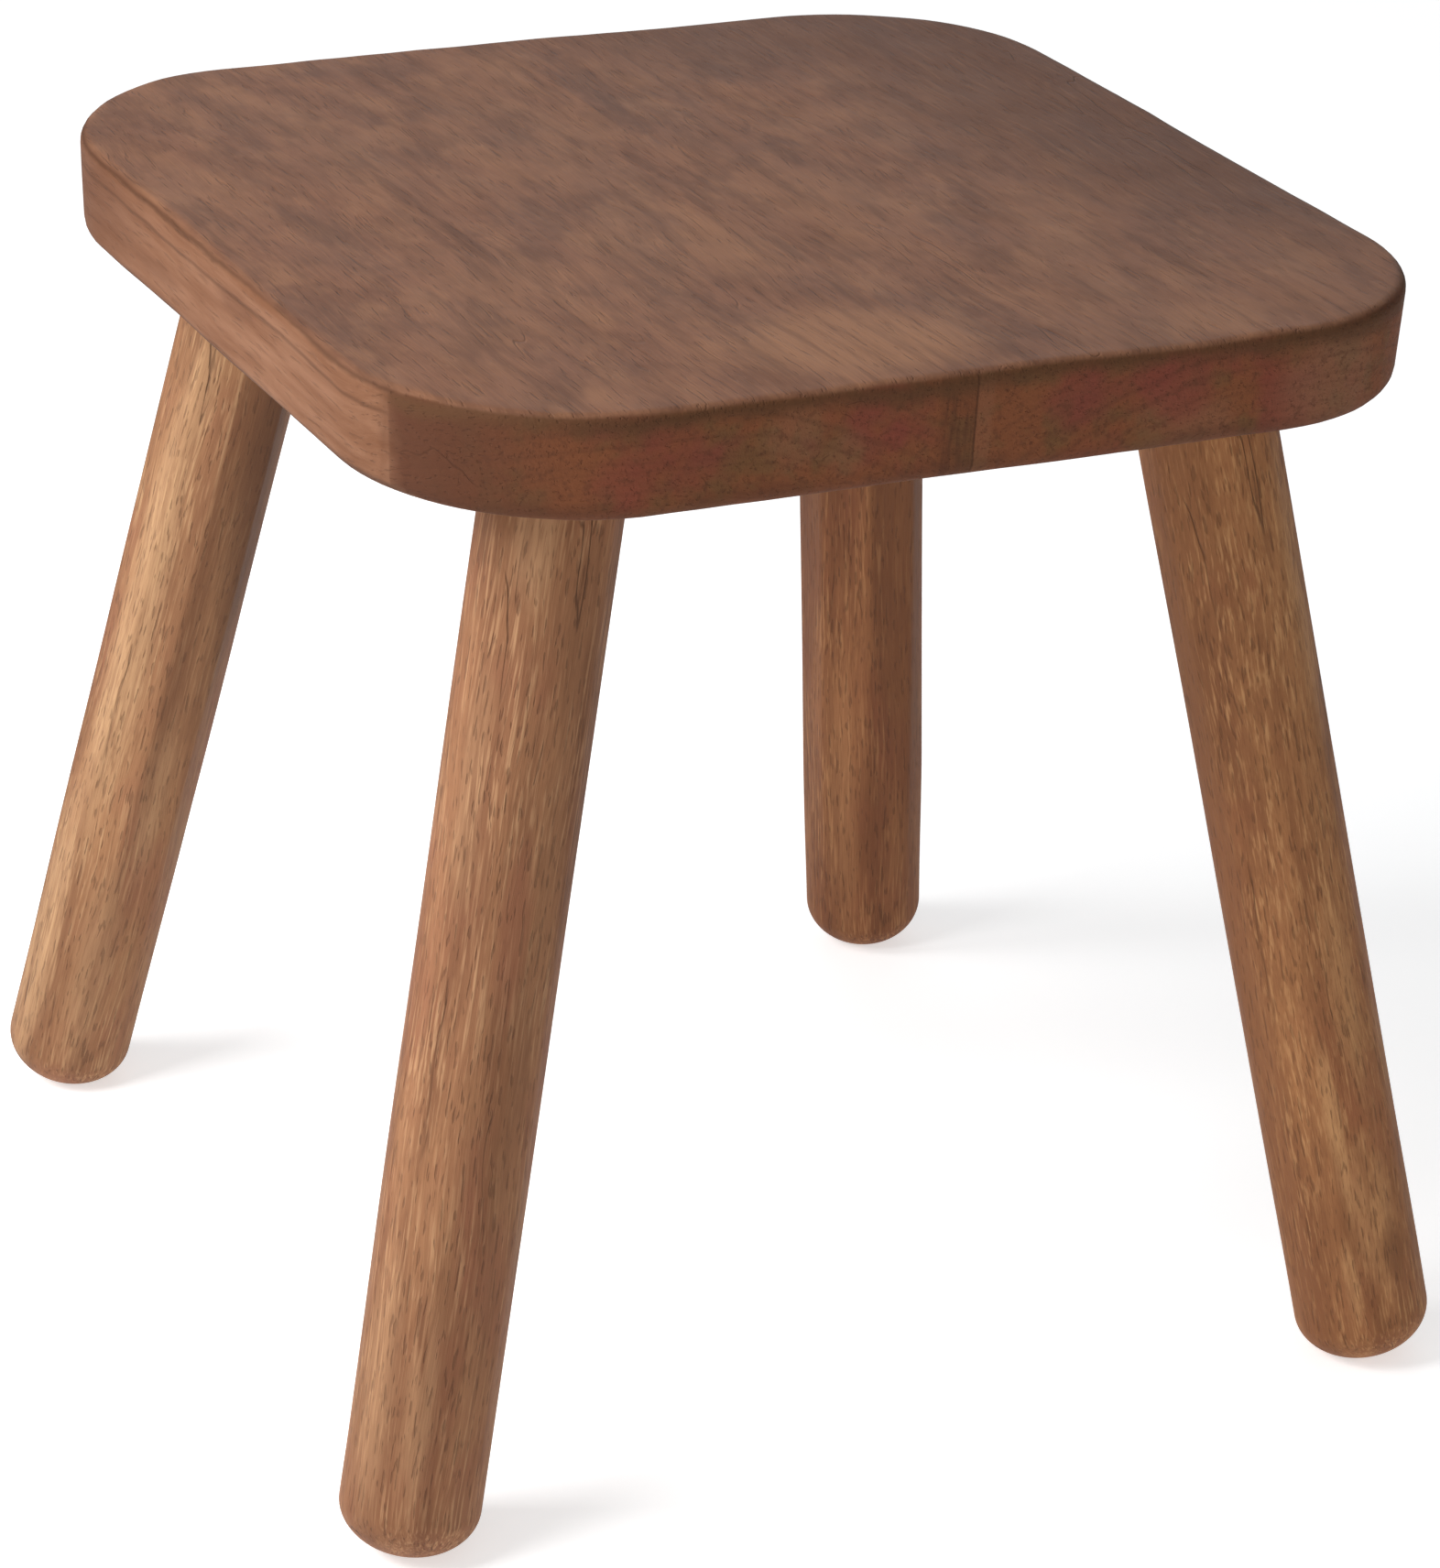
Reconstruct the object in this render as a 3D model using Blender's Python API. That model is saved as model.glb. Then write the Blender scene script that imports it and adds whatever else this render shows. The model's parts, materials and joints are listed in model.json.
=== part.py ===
"""A wooden milking stool: a square seat with rounded corners on four splayed round legs.

The seat is a slab of two boards glued edge to edge, with three hidden dowels across the joint.
Each leg ends in a round tenon, which stands in a blind socket in the seat's underside and is
held there by a wedge driven into its split end.  Metres, +Z up, +X to the sitter's right.  The
origin is on the floor, under the middle of the seat, and the grain of the seat runs along Y.
"""

import math

import bmesh
import bpy
from mathutils import Matrix, Vector

# ------------------------------------------------------------------ driving dimensions, in metres

SEAT_WIDTH = 0.290             # along X
SEAT_DEPTH = 0.290             # along Y
SEAT_HEIGHT = 0.301            # from the floor to the top of the seat
SEAT_THICKNESS = 0.028
SEAT_CORNER_RADIUS = 0.060
TOP_EDGE_ROUND = 0.0025        # radius of the softened edge round the top
BOTTOM_EDGE_ROUND = 0.0045     # and round the underside
SIDE_LEAN = 0.001              # how far the sides lean in, from the top to the underside

BOARD_JOINT_X = -0.003         # where the two boards of the seat meet
DOWEL_DIAMETER = 0.010
DOWEL_LENGTH = 0.050
DOWEL_END_CHAMFER = 0.001
DOWEL_EDGE_DISTANCE = 0.060    # from the front and back of the seat to the outer dowels

LEG_DIAMETER = 0.0365
FOOT_DOME_HEIGHT = 0.0135      # the rounded end of a leg, along its axis
FOOT_WEAR = 0.0003             # what standing on the floor has taken off its tip, along its axis
SOCKET_INSET_X = 0.0555        # from the side edge of the seat to the middle of a socket's mouth
SOCKET_INSET_Y = 0.051         # from the front or back edge
SOCKET_ROOF = 0.0065           # wood left between the highest point of a socket and the seat's top

TENON_DIAMETER = 0.024
KERF_DEPTH = 0.014             # the split in a tenon's end
KERF_TOP_WIDTH = 0.0042
KERF_ROOT_WIDTH = 0.0018
WEDGE_WIDTH = 0.020            # across the tenon

# How far each leg runs outwards between the seat's underside and the floor, along X and along Y.
LEG_SPLAY = {
    "front_left": (0.054, 0.045),
    "front_right": (0.051, 0.049),
    "back_right": (0.042, 0.0465),
    "back_left": (0.046, 0.046),
}
# Which corner of the seat each leg stands under, as signs along X and Y.
LEG_CORNER = {
    "front_left": (-1, -1),
    "front_right": (1, -1),
    "back_right": (1, 1),
    "back_left": (-1, 1),
}

GLUE_LINE = 0.0003             # between glued faces, and round a dowel, a tenon or a wedge
SOCKET_END_GAP = 0.0008        # between the end of a tenon or a dowel and the bottom of its hole

CORNER_SEGMENTS = 12
EDGE_SEGMENTS = 3
LEG_SEGMENTS = 40
DOME_SEGMENTS = 8
TENON_SEGMENTS = 28
DOWEL_SEGMENTS = 20
SMOOTH_ANGLE = math.radians(35)

# ------------------------------------------------------------------ sizes that follow from them

UNDERSIDE_Z = SEAT_HEIGHT - SEAT_THICKNESS
DOWEL_Z = SEAT_HEIGHT - SEAT_THICKNESS / 2
DOWEL_Y = SEAT_DEPTH / 2 - DOWEL_EDGE_DISTANCE
SOCKET_RADIUS = TENON_DIAMETER / 2 + GLUE_LINE
DOWEL_HOLE_RADIUS = DOWEL_DIAMETER / 2 + GLUE_LINE
CUTTER_MARGIN = 0.005          # how far a cutting shape reaches past what it cuts

# ------------------------------------------------------------------ materials

WOODS = {
    "seat_wood": ((0.235, 0.133, 0.102), 0.62),
    "leg_wood": ((0.275, 0.140, 0.066), 0.66),
    "dowel_wood": ((0.480, 0.310, 0.180), 0.75),
    "wedge_wood": ((0.420, 0.265, 0.150), 0.75),
}


def wood_material(node, wood):
    """Return a plain wood material for one node, in the colour and roughness of that wood."""
    colour, roughness = WOODS[wood]
    material = bpy.data.materials.new(f"{node}_{wood}")
    material.use_nodes = True
    shader = material.node_tree.nodes["Principled BSDF"]
    shader.inputs["Base Color"].default_value = (*colour, 1.0)
    shader.inputs["Roughness"].default_value = roughness
    shader.inputs["Metallic"].default_value = 0.0
    return material


# ------------------------------------------------------------------ helpers


def clear_scene():
    """Remove every object that the scene starts with."""
    for thing in list(bpy.data.objects):
        bpy.data.objects.remove(thing, do_unlink=True)


def add_object(name, mesh_body, wood=None):
    """Turn a bmesh into an object; with no wood it is a cutting shape that isn't rendered."""
    bmesh.ops.recalc_face_normals(mesh_body, faces=mesh_body.faces)
    mesh = bpy.data.meshes.new(name)
    mesh_body.to_mesh(mesh)
    mesh_body.free()
    thing = bpy.data.objects.new(name, mesh)
    bpy.context.scene.collection.objects.link(thing)
    if wood is None:
        thing.hide_render = True
        thing.display_type = "WIRE"
    else:
        mesh.shade_smooth()
        mesh.set_sharp_from_angle(angle=SMOOTH_ANGLE)
        mesh.materials.append(wood_material(name, wood))
    return thing


def add_boolean(thing, operation, cutter):
    """Combine an object with a cutting shape, as a live modifier."""
    modifier = thing.modifiers.new(f"{operation.lower()}_{cutter.name}", "BOOLEAN")
    modifier.operation = operation
    modifier.solver = "EXACT"
    modifier.object = cutter


def rounded_rectangle(width, depth, radius):
    """Return the outline of a rectangle with quarter-circle corners, counter-clockwise."""
    outline = []
    for turn, (side_x, side_y) in enumerate(((1, 1), (-1, 1), (-1, -1), (1, -1))):
        centre_x = side_x * (width / 2 - radius)
        centre_y = side_y * (depth / 2 - radius)
        for step in range(CORNER_SEGMENTS + 1):
            angle = math.pi / 2 * (turn + step / CORNER_SEGMENTS)
            x = centre_x + radius * math.cos(angle)
            y = centre_y + radius * math.sin(angle)
            outline.append((x, y))
    return outline


def turned_body(profile, segments):
    """Spin a profile of (radius, height) points, whose two ends lie on the axis, about Z."""
    body = bmesh.new()
    points = [body.verts.new((radius, 0.0, height)) for radius, height in profile]
    edges = [body.edges.new(pair) for pair in zip(points, points[1:])]
    bmesh.ops.spin(
        body,
        geom=points + edges,
        cent=(0, 0, 0),
        axis=(0, 0, 1),
        angle=math.tau,
        steps=segments,
        use_merge=True,
    )
    bmesh.ops.remove_doubles(body, verts=body.verts, dist=1e-6)
    return body


def cylinder_body(radius, bottom, top, segments):
    """Return a closed cylinder along Z between two heights."""
    body = bmesh.new()
    bmesh.ops.create_cone(
        body,
        cap_ends=True,
        segments=segments,
        radius1=radius,
        radius2=radius,
        depth=top - bottom,
        matrix=Matrix.Translation((0, 0, (bottom + top) / 2)),
    )
    return body


def cut_flat(body, point, outward):
    """Cut away what lies beyond a plane and close the cut with a flat face."""
    bmesh.ops.bisect_plane(
        body,
        geom=body.verts[:] + body.edges[:] + body.faces[:],
        dist=1e-7,
        plane_co=point,
        plane_no=outward,
        clear_outer=True,
    )
    open_edges = [edge for edge in body.edges if edge.is_boundary]
    bmesh.ops.contextual_create(body, geom=open_edges)


# ------------------------------------------------------------------ seat


def slab_body():
    """Return the whole seat slab: an extruded outline with leaning sides and rounded edges."""
    slab = bmesh.new()
    bottom_outline = rounded_rectangle(
        SEAT_WIDTH - 2 * SIDE_LEAN,
        SEAT_DEPTH - 2 * SIDE_LEAN,
        SEAT_CORNER_RADIUS - SIDE_LEAN,
    )
    underside = slab.faces.new([slab.verts.new((x, y, UNDERSIDE_Z)) for x, y in bottom_outline])
    raised = bmesh.ops.extrude_face_region(slab, geom=[underside])["geom"]
    top_corners = [item for item in raised if isinstance(item, bmesh.types.BMVert)]
    bmesh.ops.translate(slab, verts=top_corners, vec=(0, 0, SEAT_THICKNESS))
    spread = (SEAT_WIDTH / (SEAT_WIDTH - 2 * SIDE_LEAN), SEAT_DEPTH / (SEAT_DEPTH - 2 * SIDE_LEAN), 1)
    bmesh.ops.scale(slab, verts=top_corners, vec=spread)
    bmesh.ops.recalc_face_normals(slab, faces=slab.faces)
    for height, edge_radius in ((SEAT_HEIGHT, TOP_EDGE_ROUND), (UNDERSIDE_Z, BOTTOM_EDGE_ROUND)):
        rim = [edge for edge in slab.edges if all(abs(v.co.z - height) < 1e-6 for v in edge.verts)]
        bmesh.ops.bevel(
            slab,
            geom=rim,
            offset=edge_radius,
            offset_type="OFFSET",
            affect="EDGES",
            segments=EDGE_SEGMENTS,
            profile=0.5,
            material=-1,
            clamp_overlap=True,
        )
    return slab


def seat_board(name, side):
    """Make one board of the seat: the slab on one side (-1 or +1) of the glued joint."""
    board = slab_body()
    cut_flat(board, (BOARD_JOINT_X + side * GLUE_LINE / 2, 0, 0), (-side, 0, 0))
    return add_object(name, board, "seat_wood")


def seat_dowel(name, y):
    """Make one dowel across the joint between the boards, with chamfered ends."""
    half = DOWEL_LENGTH / 2
    radius = DOWEL_DIAMETER / 2
    nose = radius - DOWEL_END_CHAMFER
    profile = [
        (0, -half),
        (nose, -half),
        (radius, -half + DOWEL_END_CHAMFER),
        (radius, half - DOWEL_END_CHAMFER),
        (nose, half),
        (0, half),
    ]
    dowel = add_object(name, turned_body(profile, DOWEL_SEGMENTS), "dowel_wood")
    dowel.location = (BOARD_JOINT_X, y, DOWEL_Z)
    dowel.rotation_euler = (0, math.pi / 2, 0)
    return dowel


def dowel_hole(name, y):
    """Make the shape that drills both boards for one dowel."""
    reach = DOWEL_LENGTH / 2 + SOCKET_END_GAP
    hole = add_object(name, cylinder_body(DOWEL_HOLE_RADIUS, -reach, reach, DOWEL_SEGMENTS))
    hole.location = (BOARD_JOINT_X, y, DOWEL_Z)
    hole.rotation_euler = (0, math.pi / 2, 0)
    return hole


# ------------------------------------------------------------------ legs


class LegPlace:
    """Where one leg stands: its foot, its axis, and the lengths measured along that axis.

    A leg is built upright, with its axis on Z and with z = 0 where the axis meets the floor.
    """

    def __init__(self, corner):
        """Work out the place of the leg at a named corner."""
        side_x, side_y = LEG_CORNER[corner]
        splay_x, splay_y = LEG_SPLAY[corner]
        mouth_x = side_x * (SEAT_WIDTH / 2 - SOCKET_INSET_X)
        mouth_y = side_y * (SEAT_DEPTH / 2 - SOCKET_INSET_Y)
        self.mouth = Vector((mouth_x, mouth_y, UNDERSIDE_Z))
        self.foot = Vector((mouth_x + side_x * splay_x, mouth_y + side_y * splay_y, 0))
        self.length = (self.mouth - self.foot).length
        self.axis = (self.mouth - self.foot).normalized()
        along_grain = Vector((0, 1, 0))
        local_y = (along_grain - self.axis * along_grain.dot(self.axis)).normalized()
        local_x = local_y.cross(self.axis)
        self.turn = Matrix((local_x, local_y, self.axis)).transposed()
        # The socket's highest point is on its outer rim, above the middle of its end.
        tilt_rise = SOCKET_RADIUS * math.sqrt(1 - self.axis.z**2)
        socket_depth = (SEAT_THICKNESS - SOCKET_ROOF - tilt_rise) / self.axis.z
        self.socket_end = self.length + socket_depth
        self.tenon_end = self.socket_end - SOCKET_END_GAP

    def local_direction(self, direction):
        """Turn a direction in the stool's frame into the upright leg's frame."""
        return self.turn.inverted() @ Vector(direction)

    def set_down(self, thing):
        """Stand an upright piece of this leg in its place under the seat."""
        thing.location = self.foot
        thing.rotation_euler = self.turn.to_euler()
        return thing


def leg_blank(place):
    """Return a leg's round stick: domed at the foot, cut level with the floor and the seat."""
    radius = LEG_DIAMETER / 2
    tip = -FOOT_WEAR
    profile = []
    for step in range(DOME_SEGMENTS + 1):
        angle = math.pi / 2 * step / DOME_SEGMENTS
        profile.append((radius * math.sin(angle), tip + FOOT_DOME_HEIGHT * (1 - math.cos(angle))))
    blank_end = place.length + LEG_DIAMETER
    profile += [(radius, blank_end), (0, blank_end)]
    stick = turned_body(profile, LEG_SEGMENTS)
    bmesh.ops.recalc_face_normals(stick, faces=stick.faces)
    shoulder = Vector((0, 0, place.length - GLUE_LINE / place.axis.z))
    cut_flat(stick, (0, 0, 0), place.local_direction((0, 0, -1)))
    cut_flat(stick, shoulder, place.local_direction((0, 0, 1)))
    return stick


def kerf_prism(root_z, top_z, gap, width):
    """Return the tapered shape of a tenon's split, or of its wedge with a gap all round it."""
    taper = (KERF_TOP_WIDTH - KERF_ROOT_WIDTH) / KERF_DEPTH
    prism = bmesh.new()
    bmesh.ops.create_cube(prism, size=1.0)
    for corner in prism.verts:
        z = top_z if corner.co.z > 0 else root_z + gap
        half_thickness = KERF_ROOT_WIDTH / 2 + taper / 2 * (z - root_z) - gap
        corner.co.x = math.copysign(width / 2, corner.co.x)
        corner.co.y = math.copysign(half_thickness, corner.co.y)
        corner.co.z = z
    return prism


def leg(corner, place):
    """Make one leg with its tenon and the split in the tenon's end."""
    name = f"leg_{corner}"
    stick = add_object(name, leg_blank(place), "leg_wood")
    tenon_root = place.length - LEG_DIAMETER
    tenon_body = cylinder_body(TENON_DIAMETER / 2, tenon_root, place.tenon_end, TENON_SEGMENTS)
    tenon = place.set_down(add_object(f"{name}_tenon_shape", tenon_body))
    split_body = kerf_prism(
        place.tenon_end - KERF_DEPTH,
        place.tenon_end + CUTTER_MARGIN,
        0.0,
        TENON_DIAMETER + CUTTER_MARGIN,
    )
    split = place.set_down(add_object(f"{name}_split_shape", split_body))
    add_boolean(stick, "UNION", tenon)
    add_boolean(stick, "DIFFERENCE", split)
    return place.set_down(stick)


def leg_wedge(corner, place):
    """Make the wedge that spreads one leg's tenon inside its socket."""
    wedge = kerf_prism(place.tenon_end - KERF_DEPTH, place.tenon_end, GLUE_LINE, WEDGE_WIDTH)
    return place.set_down(add_object(f"wedge_{corner}", wedge, "wedge_wood"))


def socket_shape(corner, place):
    """Make the shape that drills one blind socket, leaning as its leg does."""
    mouth_z = place.length - TENON_DIAMETER
    socket = cylinder_body(SOCKET_RADIUS, mouth_z, place.socket_end, TENON_SEGMENTS)
    return place.set_down(add_object(f"socket_{corner}_shape", socket))


# ------------------------------------------------------------------ the stool


def build_stool():
    """Build the two boards, the dowels between them, and the four wedged legs."""
    clear_scene()
    boards = {-1: seat_board("seat_board_left", -1), 1: seat_board("seat_board_right", 1)}
    for place_name, y in (("front", -DOWEL_Y), ("middle", 0.0), ("back", DOWEL_Y)):
        seat_dowel(f"dowel_{place_name}", y)
        hole = dowel_hole(f"dowel_hole_{place_name}_shape", y)
        for board in boards.values():
            add_boolean(board, "DIFFERENCE", hole)
    for corner, (side_x, _) in LEG_CORNER.items():
        place = LegPlace(corner)
        leg(corner, place)
        leg_wedge(corner, place)
        add_boolean(boards[side_x], "DIFFERENCE", socket_shape(corner, place))
    bpy.context.view_layer.update()


build_stool()
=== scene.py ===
"""The looks of a wooden milking stool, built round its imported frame.

The seat's two boards and the four legs are modelled again here, finer than in the frame: flats
left by the drawknife, eased and uneven edges, a worn top, and the sockets, dowel holes and
tenons that join them.  The dowels and wedges stay as the frame has them and get bare-wood
finishes.  Metres, +Z up; the grain of the seat runs along Y and that of a leg along its axis.
"""

import json
import logging
import math
from dataclasses import dataclass
from enum import Enum

import bmesh
import bpy
from mathutils import Matrix, Vector, noise


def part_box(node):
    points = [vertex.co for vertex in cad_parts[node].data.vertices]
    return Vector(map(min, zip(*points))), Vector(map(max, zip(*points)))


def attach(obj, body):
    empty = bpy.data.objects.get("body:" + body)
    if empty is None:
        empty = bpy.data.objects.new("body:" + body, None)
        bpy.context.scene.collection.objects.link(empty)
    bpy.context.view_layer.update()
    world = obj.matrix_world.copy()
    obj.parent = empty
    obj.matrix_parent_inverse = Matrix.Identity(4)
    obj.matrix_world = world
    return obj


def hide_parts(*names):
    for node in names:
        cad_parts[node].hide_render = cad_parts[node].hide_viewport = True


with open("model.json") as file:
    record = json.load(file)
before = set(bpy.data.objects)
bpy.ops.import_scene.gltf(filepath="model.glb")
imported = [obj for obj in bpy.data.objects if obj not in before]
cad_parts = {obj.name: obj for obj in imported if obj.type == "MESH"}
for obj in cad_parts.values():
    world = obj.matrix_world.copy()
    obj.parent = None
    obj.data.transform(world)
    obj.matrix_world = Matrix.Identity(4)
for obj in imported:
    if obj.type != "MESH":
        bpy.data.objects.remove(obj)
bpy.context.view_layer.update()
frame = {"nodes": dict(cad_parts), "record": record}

LOG = logging.getLogger("milking_stool")
ROOT_BODY = "root"
DOWEL_NODES = ("dowel_front", "dowel_middle", "dowel_back")
SHARP_ANGLE = math.radians(38)
CUT_TOLERANCE = 1e-7
SAME_PLACE = 1e-6

Socket = bpy.types.NodeSocket
Tint = tuple[float, float, float]


class Corner(Enum):
    """A corner of the seat, with its signs along X and Y."""

    FRONT_LEFT = (-1, -1)
    FRONT_RIGHT = (1, -1)
    BACK_RIGHT = (1, 1)
    BACK_LEFT = (-1, 1)

    @property
    def label(self) -> str:
        """The corner's part of a node name, such as front_left."""
        return self.name.lower()


class BoardSide(Enum):
    """The side of the glued joint that a board lies on, as a sign along X."""

    LEFT = -1
    RIGHT = 1

    @property
    def label(self) -> str:
        """The side's part of a node name."""
        return self.name.lower()


# ------------------------------------------------------------------------------ shader helpers


class NodeBench:
    """Adds nodes to one node tree and joins them."""

    def __init__(self, tree: bpy.types.NodeTree) -> None:
        """Start work on the node tree of a material, a world or a group."""
        self.tree = tree

    def add(self, kind: str, **settings: object) -> bpy.types.Node:
        """Add a node.

        Args:
            kind: the node's type, such as ShaderNodeMath.
            settings: attributes to set on it.

        Returns:
            The new node.
        """
        node = self.tree.nodes.new(kind)
        for name, value in settings.items():
            setattr(node, name, value)
        return node

    def feed(self, socket: Socket, value: object) -> None:
        """Give an input either another node's output or a plain value.

        Args:
            socket: the input.
            value: the output or the plain value.
        """
        if isinstance(value, bpy.types.NodeSocket):
            self.tree.links.new(value, socket)
        else:
            socket.default_value = value

    def value(self, operation: str, *operands: object, clamp: bool = False) -> Socket:
        """Combine numbers with a Math node.

        Args:
            operation: the node's operation.
            operands: its inputs, each an output or a number.
            clamp: whether the result stays within 0 and 1.

        Returns:
            The result.
        """
        node = self.add("ShaderNodeMath", operation=operation, use_clamp=clamp)
        for socket, operand in zip(node.inputs, operands):
            self.feed(socket, operand)
        return node.outputs[0]

    def vector(self, operation: str, *operands: object) -> Socket:
        """Combine vectors with a Vector Math node.

        Args:
            operation: the node's operation.
            operands: its inputs, each an output or three numbers.

        Returns:
            The result.
        """
        node = self.add("ShaderNodeVectorMath", operation=operation)
        for socket, operand in zip(node.inputs, operands):
            self.feed(socket, operand)
        return node.outputs[0]

    def step(self, value: object, low: object, high: object) -> Socket:
        """Ramp smoothly from 0 at one value to 1 at another.

        Args:
            value: what is ramped.
            low: the value that gives 0.
            high: the value that gives 1.

        Returns:
            The ramp.
        """
        node = self.add("ShaderNodeMapRange", interpolation_type="SMOOTHSTEP")
        self.feed(node.inputs["Value"], value)
        self.feed(node.inputs["From Min"], low)
        self.feed(node.inputs["From Max"], high)
        return node.outputs["Result"]

    def band(self, value: object, centre: float, half_width: float) -> Socket:
        """Return 1 at a centre value, falling smoothly to 0 at half a width away."""
        away = self.value("ABSOLUTE", self.value("SUBTRACT", value, centre))
        return self.value("SUBTRACT", 1.0, self.step(away, 0.0, half_width))

    def mix(self, factor: object, first: object, second: object, blend: str = "MIX") -> Socket:
        """Mix two colours.

        Args:
            factor: the share of the second colour.
            first: the first colour.
            second: the second colour.
            blend: how the second colour is laid over the first.

        Returns:
            The mixed colour.
        """
        node = self.add("ShaderNodeMix", data_type="RGBA", blend_type=blend)
        self.feed(node.inputs[0], factor)
        for socket, colour in ((node.inputs[6], first), (node.inputs[7], second)):
            self.feed(socket, (*colour, 1.0) if isinstance(colour, tuple) else colour)
        return node.outputs[2]

    def tinge(self, colour: object, tint: Tint, mask: Socket, strength: float) -> Socket:
        """Lay a tint over a colour where a mask of 0 to 1 says so, at a strength of 0 to 1."""
        return self.mix(self.value("MULTIPLY", mask, strength), colour, tint)

    def lay(self, colour: object, tint: Tint, field: Socket, layer: "Layer") -> Socket:
        """Lay a tint over a colour where a field is high, or where it is low.

        Args:
            colour: the colour so far.
            tint: the colour that is laid over it.
            field: the noise or streaks that say where.
            layer: the part of the field that counts, and how strongly.

        Returns:
            The tinted colour.
        """
        mask = self.step(field, layer.low, layer.high)
        if layer.where_low:
            mask = self.value("SUBTRACT", 1.0, mask)
        return self.tinge(colour, tint, mask, layer.strength)

    def noise(self, place: Socket, scale: float, detail: float = 2.0, rough: float = 0.5) -> Socket:
        """Sample fractal noise at a place.

        Args:
            place: where it is sampled.
            scale: how many lumps there are to a unit.
            detail: how many finer layers are added.
            rough: how strong the finer layers are.

        Returns:
            The noise, about 0.5 on average.
        """
        node = self.add("ShaderNodeTexNoise", noise_dimensions="3D")
        self.feed(node.inputs["Vector"], place)
        node.inputs["Scale"].default_value = scale
        node.inputs["Detail"].default_value = detail
        node.inputs["Roughness"].default_value = rough
        return node.outputs["Fac"]

    def xyz(self, vector: Socket) -> tuple[Socket, Socket, Socket]:
        """Split a vector into its three parts.

        Args:
            vector: the vector.

        Returns:
            Its X, Y and Z.
        """
        node = self.add("ShaderNodeSeparateXYZ")
        self.feed(node.inputs[0], vector)
        return node.outputs[0], node.outputs[1], node.outputs[2]

    def join_xyz(self, x: object, y: object, z: object) -> Socket:
        """Make a vector of three numbers.

        Args:
            x: its X.
            y: its Y.
            z: its Z.

        Returns:
            The vector.
        """
        node = self.add("ShaderNodeCombineXYZ")
        for socket, part in zip(node.inputs, (x, y, z)):
            self.feed(socket, part)
        return node.outputs[0]


@dataclass(frozen=True)
class Layer:
    """How a field colours the wood: from none at its low value to full strength at its high one.

    Attributes:
        low: the field's value where the ramp starts.
        high: the field's value where the ramp ends.
        strength: how strongly the layer colours at its fullest, from 0 to 1.
        where_low: whether the layer colours where the field is low instead.
    """

    low: float
    high: float
    strength: float = 1.0
    where_low: bool = False


class WoodEffect:
    """A shader node group that two or more of the woods use, built once.

    Every effect reads Place, a position in metres whose Z runs along the grain.
    """

    name = "wood_effect"
    sizes: dict[str, float] = {}
    points: tuple[str, ...] = ()
    results: tuple[str, ...] = ()

    def __init__(self) -> None:
        """Build the group's sockets and nodes."""
        self.group = bpy.data.node_groups.new(self.name, "ShaderNodeTree")
        face = self.group.interface
        face.new_socket("Place", in_out="INPUT", socket_type="NodeSocketVector")
        for size, default in self.sizes.items():
            socket = face.new_socket(size, in_out="INPUT", socket_type="NodeSocketFloat")
            socket.default_value = default
        for point in self.points:
            face.new_socket(point, in_out="INPUT", socket_type="NodeSocketVector")
        for result in self.results:
            face.new_socket(result, in_out="OUTPUT", socket_type="NodeSocketFloat")
        bench = NodeBench(self.group)
        given = bench.add("NodeGroupInput").outputs
        taken = bench.add("NodeGroupOutput").inputs
        for socket, result in zip(taken, self.draw(bench, given)):
            bench.feed(socket, result)

    def draw(self, bench: NodeBench, given: bpy.types.NodeOutputs) -> list[Socket]:
        """Make the group's nodes on its own bench and return an output for each of its results."""
        raise NotImplementedError

    def use(self, bench: NodeBench, place: Socket, **sizes: float | Vector) -> list[Socket]:
        """Place the group in a material.

        Args:
            bench: the bench of the material's tree.
            place: the position along the grain.
            sizes: values for the group's own inputs.

        Returns:
            The group's outputs in the order of results.
        """
        node = bench.add("ShaderNodeGroup", node_tree=self.group)
        bench.feed(node.inputs["Place"], place)
        for name, value in sizes.items():
            node.inputs[name.replace("_", " ").capitalize()].default_value = value
        return list(node.outputs)


def stretched(bench: NodeBench, place: Socket, width: Socket, length: Socket) -> Socket:
    """Scale a place to the size of a feature that is drawn out along the grain.

    Args:
        bench: the bench of the tree.
        place: the position along the grain.
        width: the length across the grain that becomes one unit.
        length: the length along the grain that becomes one unit.

    Returns:
        The scaled place.
    """
    across = bench.value("DIVIDE", 1.0, width)
    along = bench.value("DIVIDE", 1.0, length)
    return bench.vector("MULTIPLY", place, bench.join_xyz(across, across, along))


class GrainWander(WoodEffect):
    """Bends straight grain a little, the way a grown stem does."""

    name = "grain_wander"
    sizes = {"Reach": 0.002, "Length": 0.12}
    results = ("X", "Y", "Z")
    apart = (7.3, 3.1, 1.7)

    def draw(self, bench: NodeBench, given: bpy.types.NodeOutputs) -> list[Socket]:
        """Shift X and Y by slow noise that changes along the grain.

        Args:
            bench: the bench of the group's own tree.
            given: the group's inputs by name.

        Returns:
            The bent X and Y, and the unchanged Z.
        """
        x, y, z = bench.xyz(given["Place"])
        across = bench.value("MULTIPLY", given["Length"], 0.5)
        slow = stretched(bench, given["Place"], across, given["Length"])
        shifts = []
        for side, part in enumerate((x, y)):
            offset = (self.apart[0] * side, self.apart[1], self.apart[2] * side)
            aside = bench.vector("ADD", slow, offset)
            drift = bench.value("SUBTRACT", bench.noise(aside, 1.0, 2.0), 0.5)
            shifts.append(bench.value("MULTIPLY_ADD", drift, given["Reach"], part))
        return [*shifts, z]


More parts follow.
